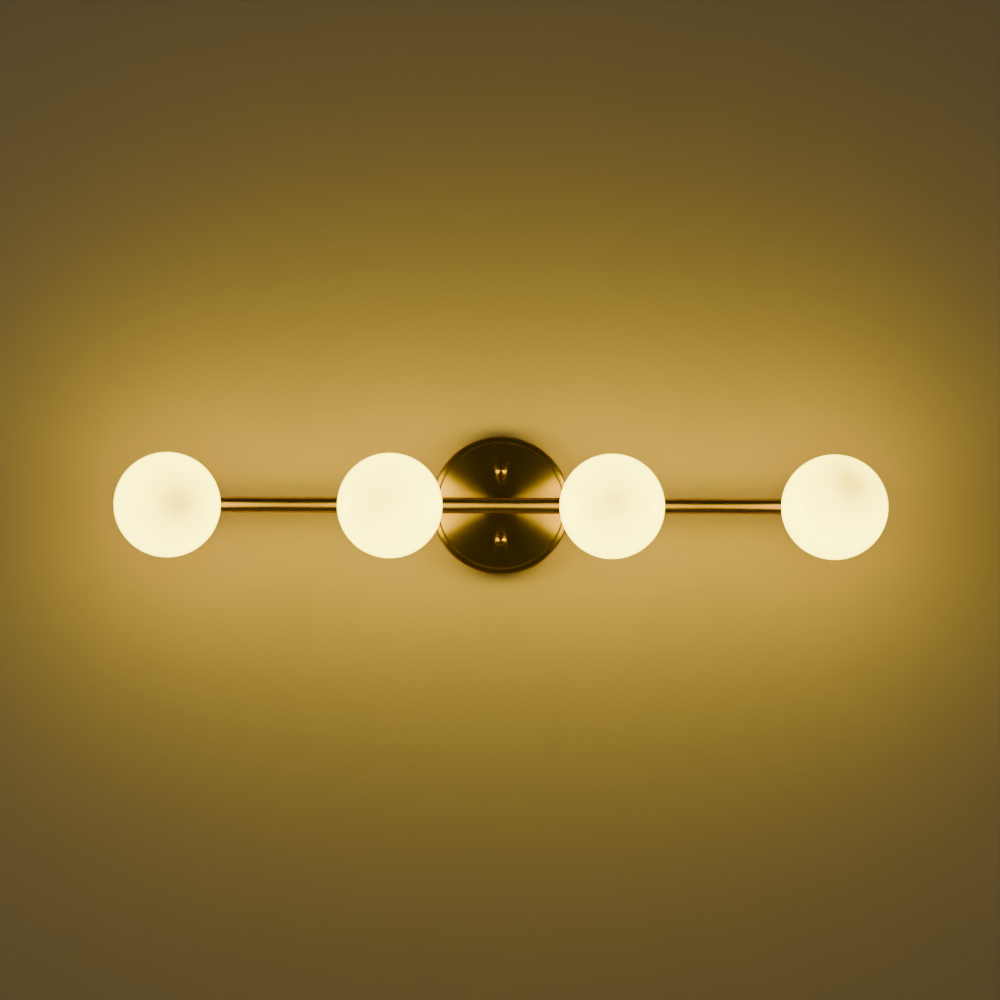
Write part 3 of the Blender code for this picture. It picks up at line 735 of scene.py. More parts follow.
@dataclass(frozen=True)
class TurnedMetal(Finish):
    """Metal with belt lines round its own axis, so that a highlight fans out across them."""

    tarnish: Colour
    roughness: float = 0.29
    anisotropy: float = 0.9
    lines: float = 9000.0
    scratch_depth: float = 0.000003

    def make(self) -> bpy.types.Material:
        """Gives the material."""
        shader, skin, material = self.start()
        unwrap = self.place(shader, "UV")
        belt = self.group(shader, self.groups.brushing, unwrap, Lines=self.lines)
        hand = self.group(shader, self.groups.handling, self.place(shader), Size=0.045,
                          Base=self.roughness, Spread=0.14)
        grain = shader.ramp(belt["Grain"], 0.25, 0.75, 0.0, 1.0)
        streak = shader.ramp(belt["Streak"], 0.35, 0.7, 0.0, 1.0)
        dark = shader.reckon("MULTIPLY", hand["Film"], 0.22)
        lined = shader.reckon("MULTIPLY_ADD", shader.reckon("MULTIPLY", grain, streak), 0.16, dark)
        rough = shader.reckon("MULTIPLY_ADD", streak, 0.03, hand["Roughness"])
        tangent = shader.node("ShaderNodeTangent", direction_type="UV_MAP", uv_map="UVMap")
        shader.feed(skin, {
            "Base Color": shader.blend(lined, self.colour, self.tarnish),
            "Metallic": 1.0,
            "Roughness": rough,
            "Anisotropic": self.anisotropy,
            "Anisotropic Rotation": 0.25,
            "Tangent": tangent.outputs[0],
            "Normal": shader.bump(belt["Grain"], self.scratch_depth, 0.6),
        })
        return material


@dataclass(frozen=True)
class PlatedSteel(Finish):
    """Zinc-plated steel with a faint spangle."""

    roughness: float = 0.36

    def make(self) -> bpy.types.Material:
        """Gives the material."""
        shader, skin, material = self.start()
        place = self.place(shader)
        hand = self.group(shader, self.groups.handling, place, Size=0.02, Base=self.roughness, Spread=0.25)
        flake = shader.feed(shader.node("ShaderNodeTexVoronoi"), {"Vector": place, "Scale": 420.0})
        tone = shader.feed(shader.node("ShaderNodeSeparateColor"), {0: flake.outputs["Color"]})
        spangle = shader.reckon("MULTIPLY", tone.outputs[0], 0.3)
        share = shader.reckon("MULTIPLY_ADD", hand["Film"], 0.35, spangle)
        shade = tuple(channel * 0.62 for channel in self.colour)
        grain = self.group(shader, self.groups.grain, place, Size=0.0003)
        shader.feed(skin, {
            "Base Color": shader.blend(share, self.colour, shade),
            "Metallic": 1.0,
            "Roughness": hand["Roughness"],
            "Normal": shader.bump(grain["Height"], 0.00001, 0.5),
        })
        return material


@dataclass(frozen=True)
class Moulded(Finish):
    """Ceramic, plastic or rubber: an even body with fine grain, a few specks and a little handling."""

    roughness: float = 0.5
    speck: Colour = (0.35, 0.32, 0.27)
    grain_size: float = 0.0004
    grain_depth: float = 0.00001
    coat: float = 0.0
    glow: float = 0.0

    def make(self) -> bpy.types.Material:
        """Gives the material."""
        shader, skin, material = self.start()
        place = self.place(shader)
        grain = self.group(shader, self.groups.grain, place, Size=self.grain_size)
        hand = self.group(shader, self.groups.handling, place, Size=0.015, Base=self.roughness, Spread=0.16)
        dusty = shader.blend(shader.reckon("MULTIPLY", hand["Film"], 0.14), self.colour, self.speck)
        shader.feed(skin, {
            "Base Color": shader.blend(shader.reckon("MULTIPLY", grain["Speck"], 0.5), dusty, self.speck),
            "Roughness": hand["Roughness"],
            "Coat Weight": self.coat,
            "Normal": shader.bump(grain["Height"], self.grain_depth, 0.7),
            "Emission Color": (*self.colour, 1),
            "Emission Strength": self.glow,
        })
        return material


@dataclass(frozen=True)
class OpalGlass(Finish):
    """Lit opal glass, with painted shade in its glow: a little deeper in tone over the lamp's tip and at the
    neck.
    """

    centre: Vector
    radius: float
    # The direction and depth of the painted shade over the lamp's tip.
    painted_shade_towards: Vector
    painted_shade_depth: float
    # shade is the colour of the painted shade over the lamp's tip; neck is the colour of the painted socket
    # shadow at the neck.
    shade: Colour = (0.50, 0.34, 0.005)
    neck: Colour = (0.9, 0.46, 0.05)
    strength: float = 9.5

    def make(self) -> bpy.types.Material:
        """Gives the material."""
        shader, skin, material = self.start()
        centred = shader.node("ShaderNodeMapping", vector_type="TEXTURE")
        shader.feed(centred, {"Vector": self.place(shader), "Location": self.centre})
        centred.inputs["Scale"].default_value = (self.radius,) * 3
        # Painted shade: the glow is deeper in tone near the lamp's tip, where less light comes forward.
        off = shader.node("ShaderNodeVectorMath", operation="DISTANCE")
        shader.feed(off, {0: centred.outputs[0], 1: self.painted_shade_towards})
        near = shader.ramp(off.outputs["Value"], 0.0, 1.15, 1.0, 0.0)
        core = shader.ramp(off.outputs["Value"], 0.0, 0.45, 1.0, 0.0)
        tip = shader.reckon("MULTIPLY_ADD", core, 0.35, shader.reckon("MULTIPLY", near, 0.65))
        split = shader.feed(shader.node("ShaderNodeSeparateXYZ"), {0: centred.outputs[0]})
        # Painted shadow of the socket: the glow turns darker and warmer towards the neck.
        rear = shader.ramp(split.outputs[1], 0.35, 0.98, 0.0, 1.0)
        cloud = shader.noise(centred.outputs[0], 2.3, 3.0, 0.5)
        patchy = shader.ramp(cloud, 0.3, 0.7, 0.0, 0.16)
        share = shader.reckon("MULTIPLY_ADD", tip, self.painted_shade_depth, patchy)
        lit = shader.blend(share, self.colour, self.shade)
        light = shader.blend(rear, lit, self.neck)
        ripple = shader.noise(centred.outputs[0], 3.4, 2.0, 0.4)
        shader.feed(skin, {
            "Base Color": shader.blend(patchy, (0.93, 0.92, 0.88), (0.88, 0.85, 0.78)),
            "Roughness": shader.ramp(cloud, 0.3, 0.7, 0.17, 0.26),
            "IOR": 1.5,
            "Coat Weight": 0.5,
            "Coat Roughness": 0.06,
            "Normal": shader.bump(ripple, 0.0004, 0.35),
            "Emission Color": light,
            "Emission Strength": self.strength,
        })
        return material


@dataclass(frozen=True)
class BraidedSleeve(Finish):
    """Glass-fibre sleeve: two sets of yarn that wind opposite ways along the wire."""

    roughness: float = 0.78
    yarns: float = 12.0
    pitch: float = 0.0055

    def make(self) -> bpy.types.Material:
        """Gives the material."""
        shader, skin, material = self.start()
        angle = shader.wire_angle()
        along = shader.node("ShaderNodeAttribute", attribute_name="along")
        turns = shader.reckon("MULTIPLY", along.outputs["Fac"], 2 * math.pi / self.pitch)
        waves = []
        for way in (1.0, -1.0):
            wound = shader.reckon("MULTIPLY_ADD", turns, way, angle)
            yarn = shader.reckon("SINE", shader.reckon("MULTIPLY", wound, self.yarns / 2))
            waves.append(shader.reckon("MULTIPLY_ADD", yarn, 0.5, 0.5))
        weave = shader.reckon("MAXIMUM", *waves)
        fuzz = self.group(shader, self.groups.grain, self.place(shader), Size=0.0002, Rarity=0.6)
        height = shader.reckon("MULTIPLY_ADD", fuzz["Height"], 0.25, weave)
        # Painted shade: the base colour is darker in the gaps between the yarns.
        gap = tuple(channel * 0.45 for channel in self.colour)
        shader.feed(skin, {
            "Base Color": shader.blend(shader.ramp(weave, 0.35, 0.85, 0.0, 1.0), gap, self.colour),
            "Roughness": shader.ramp(fuzz["Height"], 0.3, 0.7, self.roughness, 0.95),
            "Sheen Weight": 0.25,
            "Normal": shader.bump(height, 0.00012, 0.9),
        })
        return material


@dataclass(frozen=True)
class WireSkin(Finish):
    """Insulation of one colour, or of two in stripes along the wire."""

    stripe: Colour | None = None
    roughness: float = 0.42

    def make(self) -> bpy.types.Material:
        """Gives the material."""
        shader, skin, material = self.start()
        hand = self.group(shader, self.groups.handling, self.place(shader), Size=0.008,
                          Base=self.roughness, Spread=0.2)
        deep = tuple(channel * 0.7 for channel in self.colour)
        body = shader.blend(hand["Film"], self.colour, deep)
        if self.stripe:
            across = shader.reckon("COSINE", shader.wire_angle())
            band = shader.ramp(across, 0.32, 0.38, 0.0, 1.0)
            body = shader.blend(band, body, self.stripe)
        shader.feed(skin, {"Base Color": body, "Roughness": hand["Roughness"], "Coat Weight": 0.15})
        return material


@dataclass(frozen=True)
class StagePaint(Finish):
    """Matt paint for the stage.

    A one-sided coat can't be seen from behind. The lift is a glow that only the camera sees, so that a
    dim room's floor still reads as pale and gives the light no extra shine.
    """

    one_sided: bool = False
    lift: float = 0.0

    def make(self) -> bpy.types.Material:
        """Gives the material."""
        shader, skin, material = self.start()
        grain = self.group(shader, self.groups.grain, self.place(shader), Size=0.0035)
        shader.feed(skin, {
            "Base Color": (*self.colour, 1),
            "Roughness": 0.85,
            "Normal": shader.bump(grain["Height"], 0.0003, 0.25),
            "Emission Color": (*self.colour, 1),
        })
        if self.lift:
            seen = shader.node("ShaderNodeLightPath").outputs["Is Camera Ray"]
            shader.feed(skin, {"Emission Strength": shader.reckon("MULTIPLY", seen, self.lift)})
        if self.one_sided:
            facing = shader.node("ShaderNodeNewGeometry")
            clear = shader.node("ShaderNodeBsdfTransparent")
            either = shader.node("ShaderNodeMixShader")
            shader.feed(either, {0: facing.outputs["Backfacing"], 1: skin.outputs[0], 2: clear.outputs[0]})
            shader.feed(shader.tree.nodes["Material Output"], {"Surface": either.outputs[0]})
        return material


@dataclass(frozen=True)
class Cabinet:
    """Every finish in the light, made once, and the Geometry Nodes trees that the pieces share."""

    brass: bpy.types.Material
    bar_brass: bpy.types.Material
    inner_brass: bpy.types.Material
    steel: bpy.types.Material
    terminal_brass: bpy.types.Material
    ceramic: bpy.types.Material
    plastic: bpy.types.Material
    gasket: bpy.types.Material
    lamp_core: bpy.types.Material
    diode: bpy.types.Material
    sleeve: bpy.types.Material
    live: bpy.types.Material
    neutral: bpy.types.Material
    earth: bpy.types.Material
    earth_paint: bpy.types.Material
    groups: Groups
    thread: bpy.types.NodeTree
    wire: bpy.types.NodeTree
    diodes: bpy.types.NodeTree

    @classmethod
    def stock(cls) -> Cabinet:
        """Makes all the finishes and trees."""
        groups = Groups(brushing_group(), handling_group(), grain_group())
        gold, tarnish, raw = (0.50, 0.32, 0.045), (0.30, 0.18, 0.02), (0.58, 0.41, 0.17)
        return cls(
            brass=TurnedMetal("brushed_brass", gold, groups, tarnish).make(),
            bar_brass=TurnedMetal("bar_brass", gold, groups, tarnish, 0.36, 0.97, 7000.0).make(),
            inner_brass=TurnedMetal("unbrushed_brass", raw, groups, tarnish, 0.42, 0.2).make(),
            steel=PlatedSteel("zinc_steel", (0.66, 0.66, 0.65), groups).make(),
            terminal_brass=PlatedSteel("terminal_brass", (0.78, 0.60, 0.30), groups, 0.3).make(),
            ceramic=Moulded("white_ceramic", (0.80, 0.78, 0.73), groups, 0.42, coat=0.2).make(),
            plastic=Moulded("white_plastic", (0.78, 0.78, 0.75), groups, 0.5).make(),
            gasket=Moulded("grey_silicone", (0.46, 0.45, 0.42), groups, 0.66, grain_size=0.0006).make(),
            lamp_core=Moulded("lamp_core", (0.94, 0.80, 0.50), groups, 0.35, coat=0.4, glow=0.7).make(),
            diode=Moulded("diode_phosphor", (1.0, 0.62, 0.12), groups, 0.4, coat=0.4, glow=3.0).make(),
            sleeve=BraidedSleeve("glass_fibre_sleeve", (0.74, 0.71, 0.63), groups).make(),
            live=WireSkin("black_insulation", (0.02, 0.02, 0.022), groups).make(),
            neutral=WireSkin("white_insulation", (0.75, 0.75, 0.72), groups).make(),
            earth=WireSkin("earth_insulation", (0.05, 0.33, 0.08), groups, (0.80, 0.66, 0.05)).make(),
            earth_paint=Moulded("earth_green", (0.05, 0.30, 0.09), groups, 0.35, coat=0.3).make(),
            groups=groups,
            thread=thread_tree(),
            wire=wire_tree(),
            diodes=diode_tree(),
        )


# ---------------------------------------------------------------------------------------------------
# Sub-assemblies


def drill(radius: float, low: float, high: float, sink: float = 0.0, faces: Sequence[float] = ()
          ) -> bmesh.types.BMesh:
    """Makes a cutter for a round hole.

    Args:
        radius: The hole's radius.
        low: The depth where the cutter starts.
        high: The depth where it ends.
        sink: How far the hole's edges are broken at each face.
        faces: The depths of those faces, from low to high.

    Returns:
        The closed cutter in its own space.
    """
    corners: list[Corner] = [(0, low, 0), (radius, low, 0)]
    for face in faces:
        wide = radius + sink
        corners += [(radius, face - sink, 0), (wide, face, 0), (radius, face + sink, 0)]
    corners += [(radius, high, 0), (0, high, 0)]
    return turned(corners, False, 48)


@dataclass(frozen=True)
class ScrewThread:
    """The size of a screw thread: its crest radius, its pitch and how thick its bead is."""

    crest: float
    pitch: float
    bead: float

    @property
    def root(self) -> float:
        """Gives the radius of the rod under the thread."""
        return self.crest - self.bead * 1.15

    def wind(self, cabinet: Cabinet, material: bpy.types.Material, length: float) -> bpy.types.Mesh:
        """Winds the thread's bead over a length.

        Args:
            cabinet: Where the thread's tree is kept.
            material: What the bead is dressed in.
            length: The threaded length.

        Returns:
            The bead's mesh, starting at depth 0.
        """
        sizes = {"Radius": self.crest - self.bead, "Pitch": self.pitch, "Bead": self.bead}
        return grow(cabinet.thread, material, Turns=length / self.pitch, **sizes)


def hex_nut(piece: Piece, cabinet: Cabinet, extent: Extent, bore: float) -> None:
    """Adds a hexagon nut with turned-down corners.

    Args:
        piece: The piece that the nut is added to.
        cabinet: The finishes.
        extent: The solid's box, which is as high as the nut is wide across flats.
        bore: The hole's radius.
    """
    low, high, flats, place = extent.back, extent.front, 2 * extent.up, extent.place
    corner = flats / 2 / math.cos(math.radians(30))
    inner, outer, lift = flats / 2 * 0.96, corner * 1.4, 0.5 * MM
    drop = (outer - inner) * 0.5
    top = turned([(inner, high + lift * 0.1, 0), (outer, high + lift, 0), (outer, high - drop, 0)], True)
    bottom = turned([(inner, low - lift * 0.1, 0), (outer, low + drop, 0), (outer, low - lift, 0)], True)
    hole = drill(bore, low - lift, high + lift, 0.3 * MM, (low, high))
    cuts = [(shape, place) for shape in (top, bottom, hole)]
    piece.add(slab(hexagon(flats), low, high), cabinet.steel, place, cuts)


@dataclass
class WallBracket:
    """The steel strap on the wall, its earth screw, and the studs and lock nuts that it carries."""

    cabinet: Cabinet
    slot_offset: float = 45 * MM
    slot_half: float = 5.5 * MM
    slot_radius: float = 2.6 * MM
    stud_hole: float = 2.3 * MM
    stud_chamfer: float = 0.5 * MM
    stud_thread: ScrewThread = ScrewThread(2.0 * MM, 0.7 * MM, 0.28 * MM)
    thread_margin: float = 1.1 * MM
    edge: float = 0.25 * MM
    earth_hole: float = 2.05 * MM
    earth_shank: float = 1.6 * MM
    earth_head: float = 2.1 * MM
    recess_half_width: float = 0.45 * MM
    recess_half_length: float = 2 * MM
    recess_depth: float = 1.1 * MM

    def build(self) -> None:
        """Builds the strap, the earth screw and both studs with their lock nuts."""
        self.strap()
        self.earth_screw()
        for side in ("upper", "lower"):
            self.stud(side)
            nut = Piece(f"stud_lock_nut_{side}_turned")
            hex_nut(nut, self.cabinet, Extent.of(f"stud_lock_nut_{side}"), self.stud_hole)
            nut.finish("fixture", "zinc_steel", f"stud_lock_nut_{side}", crease=20)

    def strap(self) -> None:
        """Builds the strap with its box-screw slots, stud holes and earth hole."""
        extent = Extent.of("mounting_bracket")
        thick = extent.front
        outline = strap_outline(extent.up, extent.across, 24)
        blank = soften(slab(outline, 0, thick), self.edge, 3, 50)
        faces = (0.0, thick)
        ends = (-thick, 2 * thick)
        cuts = [(drill(self.earth_hole, *ends, 0.35 * MM, faces), Extent.of("ground_screw").axis)]
        for side, way in (("upper", 1), ("lower", -1)):
            stud = Extent.of(f"canopy_stud_{side}").axis
            cuts.append((drill(self.stud_hole, *ends, 0.4 * MM, faces), stud))
            slot = slab(strap_outline(self.slot_half, self.slot_radius), *ends)
            cuts.append((slot, Vector((0, 0, way * self.slot_offset))))
        placed = [(cutter, Facing.OUTWARD.matrix(where)) for cutter, where in cuts]
        strap = Piece("mounting_bracket_strap")
        strap.add(blank, self.cabinet.steel, Facing.OUTWARD.matrix(Vector()), placed)
        strap.finish("fixture", "zinc_steel", "mounting_bracket")

    def earth_screw(self) -> None:
        """Builds the green earth screw with a cross recess in its pan head."""
        extent = Extent.of("ground_screw")
        start, top, head, shank = extent.back, extent.front, extent.across, self.earth_shank
        neck = top - self.earth_head
        corners = [(0, start, 0), (shank, start, 0.3 * MM), (shank, neck, 0), (head, neck, 0.15 * MM),
                   (head, top - 0.7 * MM, 0.6 * MM), (head * 0.45, top, 0.8 * MM), (0, top, 0)]
        narrow, long = self.recess_half_width, self.recess_half_length
        cuts = []
        for outline in (oblong(-long, long, -narrow, narrow), oblong(-narrow, narrow, -long, long)):
            cuts.append((slab(outline, top - self.recess_depth, top + 1 * MM), extent.place))
        screw = Piece("ground_screw_head")
        screw.add(turned(corners, False, 64), self.cabinet.earth_paint, extent.place, cuts)
        screw.finish("fixture", "ground_green", "ground_screw")

    def stud(self, side: str) -> None:
        """Builds one threaded stud with chamfered ends."""
        extent = Extent.of(f"canopy_stud_{side}")
        start, top = extent.back, extent.front
        thread, chamfer = self.stud_thread, self.stud_chamfer
        corners = [(0, start, 0), (thread.root - chamfer, start, 0), (thread.root, start + chamfer, 0),
                   (thread.root, top - chamfer, 0), (thread.root - chamfer, top, 0), (0, top, 0)]
        length = top - start - 2 * self.thread_margin
        wound = thread.wind(self.cabinet, self.cabinet.steel, length)
        lift = extent.place @ Matrix.Translation((0, 0, start + self.thread_margin))
        stud = Piece(f"canopy_stud_{side}_threaded")
        stud.add(turned(corners, False, 40), self.cabinet.steel, extent.place)
        stud.add(wound, self.cabinet.steel, lift)
        stud.finish("fixture", "zinc_steel", f"canopy_stud_{side}")


@dataclass
class Canopy:
    """The pressed brass pan on the wall, with the domed cap nuts and washers that clamp it."""

    cabinet: Cabinet
    sheet: float = 1.0 * MM
    step_radius: float = 63.6 * MM
    step_height: float = 3.5 * MM
    step_lean: float = 0.5 * MM
    face_round: float = 2.2 * MM
    shoulder_round: float = 2.5 * MM
    stem_hole: float = 5.25 * MM
    stud_hole: float = 2.6 * MM
    nut_bore: float = 2.3 * MM
    nut_bore_depth: float = 8 * MM
    nut_dome: float = 7.5 * MM
    hole_band: float = 5 * MM

    def build(self) -> None:
        """Builds the pan, and a nut and washer above and below."""
        self.pan()
        for side in ("upper", "lower"):
            self.nut(side)
            self.washer(side)

    def pan(self) -> None:
        """Builds the pan with its raised face, its step, its flange and its rolled shoulder."""
        extent = Extent.of("canopy")
        radius, face = extent.across, extent.front
        flange = face - self.step_height
        foot = self.step_radius + self.step_lean
        sheet = self.sheet
        stud = Extent.of("canopy_stud_upper").axis.z
        band = (stud - self.hole_band, stud + self.hole_band)
        corners = [
            (self.stem_hole, face, 0),
            *((loop, face, 0) for loop in band),
            (self.step_radius, face, self.face_round),
            (foot, flange, 0.9 * MM),
            (radius, flange, self.shoulder_round),
            (radius, 0, 0.3 * MM),
            (radius - sheet, 0, 0.3 * MM),
            (radius - sheet, flange - sheet, self.shoulder_round - sheet),
            (foot - sheet, flange - sheet, 0.4 * MM),
            (self.step_radius - sheet, face - sheet, self.face_round - sheet),
            *((loop, face - sheet, 0) for loop in reversed(band)),
            (self.stem_hole, face - sheet, 0),
        ]
        cuts = []
        for side in ("upper", "lower"):
            hole = drill(self.stud_hole, face / 2, face * 2)
            cuts.append((hole, Extent.of(f"canopy_stud_{side}").place))
        pan = Piece("canopy_pan")
        pan.add(turned(corners, True, 224), self.cabinet.brass, extent.place, cuts)
        pan.finish("fixture", "brushed_brass", "canopy", crease=40)

    def nut(self, side: str) -> None:
        """Builds one domed cap nut."""
        extent = Extent.of(f"cap_nut_{side}")
        back, top, radius = extent.back, extent.front, extent.across
        bore, dome = self.nut_bore, self.nut_dome
        start = math.degrees(math.acos(radius / dome))
        cap = arc(dome, top - dome, start, 90, 18)
        blind, lead_in = back + self.nut_bore_depth, 0.5 * MM
        corners = [(0, blind + 0.3 * MM, 0), (bore, blind, 0.3 * MM),
                   (bore, back + lead_in, 0), (bore + lead_in, back, 0),
                   (radius - 0.35 * MM, back, 0.15 * MM), (radius, back + 0.5 * MM, 0.3 * MM),
                   (*cap[0][:2], 0.9 * MM), *cap[3:]]
        nut = Piece(f"cap_nut_{side}_domed")
        nut.add(turned(corners, False), self.cabinet.brass, extent.place)
        nut.finish(f"nut_{side}", "brushed_brass", f"cap_nut_{side}")

    def washer(self, side: str) -> None:
        """Builds the flat washer under one cap nut."""
        extent = Extent.of(f"cap_nut_washer_{side}")
        back, front, radius = extent.back, extent.front, extent.across
        corners = [(self.nut_bore, back, 0.1 * MM), (radius, back, 0.1 * MM),
                   (radius, front, 0.25 * MM), (self.nut_bore, front, 0.15 * MM)]
        washer = Piece(f"cap_nut_washer_{side}_turned")
        washer.add(turned(corners, True), self.cabinet.brass, extent.place)
        washer.finish(f"washer_{side}", "brushed_brass", f"cap_nut_washer_{side}")


@dataclass
class Bar:
    """The bar's tube, its end caps, and the stem that carries it on the canopy."""

    cabinet: Cabinet
    wall: float = 1.2 * MM
    hole: float = 5.25 * MM
    stem_bore: float = 3.7 * MM
    coping_gap: float = 0.3 * MM
    hole_band: float = 8 * MM
    cap_spigot: float = 5 * MM
    cap_crown: float = 1.3 * MM
    joint_gap: float = 0.3 * MM
    tooth_count: int = 16
    tooth_length: float = 1.6 * MM
    tooth_gap: float = 0.45 * MM
    stem_thread: ScrewThread = ScrewThread(4.9 * MM, 1.0 * MM, 0.38 * MM)

    @property
    def radius(self) -> float:
        """Gives the tube's outer radius."""
        return Extent.of("bar_tube").up

    @property
    def axis(self) -> float:
        """Gives the tube's axis as a place on the frame's y axis, which runs into the wall."""
        extent = Extent.of("bar_tube")
        return -(extent.back + extent.front) / 2

    def build(self) -> None:
        """Builds the tube, both caps, the stem, its washer and its nut."""
        left, right = (corner.x for corner in map(Vector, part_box("bar_tube")))
        self.tube(left, right)
        self.cap("left", left, Facing.LEFT)
        self.cap("right", right, Facing.RIGHT)
        self.stem()
        nut = Piece("stem_nut_hexagon")
        hex_nut(nut, self.cabinet, Extent.of("stem_nut"), self.hole)
        nut.finish("fixture", "zinc_steel", "stem_nut", crease=20)
        self.lock_washer()

    def tube(self, left: float, right: float) -> None:
        """Builds the tube with a hole for each cup post in front and one for the stem behind."""
        inner = self.radius - self.wall
        lip = 0.2 * MM
        posts = [Extent.of(f"cup_post_{index}").axis for index in range(1, 5)]
        holes = sorted([0.0, *(post.x for post in posts)])
        loops = [hole + side for hole in holes for side in (-self.hole_band, self.hole_band)]
        outer = self.radius
        corners = [(inner, left, lip), (outer, left, lip), *((outer, loop, 0) for loop in loops),
                   (outer, right, lip), (inner, right, lip), *((inner, loop, 0) for loop in reversed(loops))]
        reach = 2 * outer
        cuts = [(drill(self.hole, -self.axis - reach, -self.axis), Facing.OUTWARD.matrix(Vector()))]
        for post in posts:
            cuts.append((drill(self.hole, -self.axis, -self.axis + reach), Facing.OUTWARD.matrix(post)))
        tube = Piece("bar_tube_brushed")
        place = Facing.RIGHT.matrix(Vector((0, self.axis, 0)))
        tube.add(turned(corners, True, 128), self.cabinet.bar_brass, place, cuts)
        tube.finish("fixture", "brushed_brass", "bar_tube")

    def cap(self, side: str, end: float, facing: Facing) -> None:
        """Builds one end cap with a spigot and a softly crowned face."""
        low, high = map(Vector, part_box(f"bar_end_cap_{side}"))
        proud = max(abs(low.x), abs(high.x)) - abs(end)
        radius, gap, bulge, foot = self.radius, self.joint_gap, self.cap_crown, -self.cap_spigot
        spigot = radius - self.wall - gap
        crown = [(radius * math.cos(t), proud - bulge + bulge * math.sin(t), 0)
                 for t in (math.radians(90 * step / 14) for step in range(14))]
        corners = [(0, foot, 0), (spigot, foot, 0.6 * MM), (spigot, gap, 0),
                   (radius, gap, 0.15 * MM), *crown, (0, proud, 0)]
        cap = Piece(f"bar_end_cap_{side}_crowned")
        place = facing.matrix(Vector((end, self.axis, 0)))
        cap.add(turned(corners, False), self.cabinet.brass, place)
        cap.finish("fixture", "brushed_brass", f"bar_end_cap_{side}")

    def stem(self) -> None:
        """Builds the stem's collar, coped to the bar, on its hollow threaded core."""
        extent = Extent.of("stem")
        base = Extent.of("canopy").front + self.joint_gap
        margin = 0.8 * MM
        piece = Piece("stem_standoff")
        coped_post(piece, self, extent.across, base, extent, self.stem_bore)
        length = base - extent.back - 2 * margin
        wound = self.stem_thread.wind(self.cabinet, self.cabinet.inner_brass, length)
        start = Matrix.Translation((0, 0, extent.back + margin))
        piece.add(wound, self.cabinet.inner_brass, extent.place @ start)
        piece.finish("fixture", "brushed_brass", "stem")

    def lock_washer(self) -> None:
        """Builds the toothed washer between the stem's nut and the canopy."""
        extent = Extent.of("stem_lock_washer")
        back, front, radius = extent.back, extent.front, extent.across
        ring = turned([(self.hole, back, 0), (radius, back, 0.15 * MM), (radius, front, 0.15 * MM),
                       (self.hole, front, 0)], True, 144)
        past = 1 * MM
        notch = oblong(radius - self.tooth_length, radius + past, -self.tooth_gap, self.tooth_gap)
        cuts = []
        for tooth in range(self.tooth_count):
            turn = Matrix.Rotation(2 * math.pi * tooth / self.tooth_count, 4, "Z")
            cuts.append((slab(notch, back - past, front + past), extent.place @ turn))
        washer = Piece("stem_lock_washer_toothed")
        washer.add(ring, self.cabinet.steel, extent.place, cuts)
        washer.finish("fixture", "zinc_steel", "stem_lock_washer")


def coped_post(piece: Piece, bar: Bar, collar: float, base: float, extent: Extent, bore: float) -> None:
    """Adds a round collar whose bar end is cut to the bar's surface, on a hollow core.

    Args:
        piece: The piece that they are added to.
        bar: The bar, for its size and its finishes.
        collar: The collar's radius.
        base: The depth of the collar's plain end.
        extent: The solid's box, which the core fills from back to front.
        bore: The core's inner radius.
    """
    place, core = extent.place, (extent.back, extent.front)
    sleeve = bar.stem_thread.crest + 0.02 * MM
    low, high = sorted((base, -bar.axis))
    edges = (0.0, 0.5 * MM) if high == base else (0.5 * MM, 0.0)
    corners = [(sleeve, low, 0), (collar, low, edges[0]), (collar, high, edges[1]), (sleeve, high, 0)]
    reach = 2 * collar
    across = Facing.RIGHT.matrix(Vector((extent.axis.x, bar.axis, 0)))
    cope = [(drill(bar.radius + bar.coping_gap, -reach, reach), across)]
    piece.add(turned(corners, True), bar.cabinet.brass, place, cope)
    outer, lip = bar.stem_thread.root, 0.3 * MM
    tube = [(bore, core[0], lip), (outer, core[0], lip), (outer, core[1], lip), (bore, core[1], lip)]
    piece.add(turned(tube, True, 72), bar.cabinet.inner_brass, place)


@dataclass(frozen=True)
class Threads:
    """The coarse thread that joins a globe's neck to the ring in its cup, in depths from the wall."""

    pitch: float = 4 * MM
    bead: float = 1.0 * MM
    neck_crest: float = 16.6 * MM
    neck_start: float = 69 * MM
    neck_turns: float = 1.25
    ring_crest: float = 17.4 * MM
    ring_start: float = 67 * MM
    ring_turns: float = 1.5


@dataclass(frozen=True)
class PaintedShade:
    """Where the painted shade in a lit globe's glow is deepest, as a direction from its centre, and how deep
    it is there.
    """

    across: float
    up: float
    depth: float


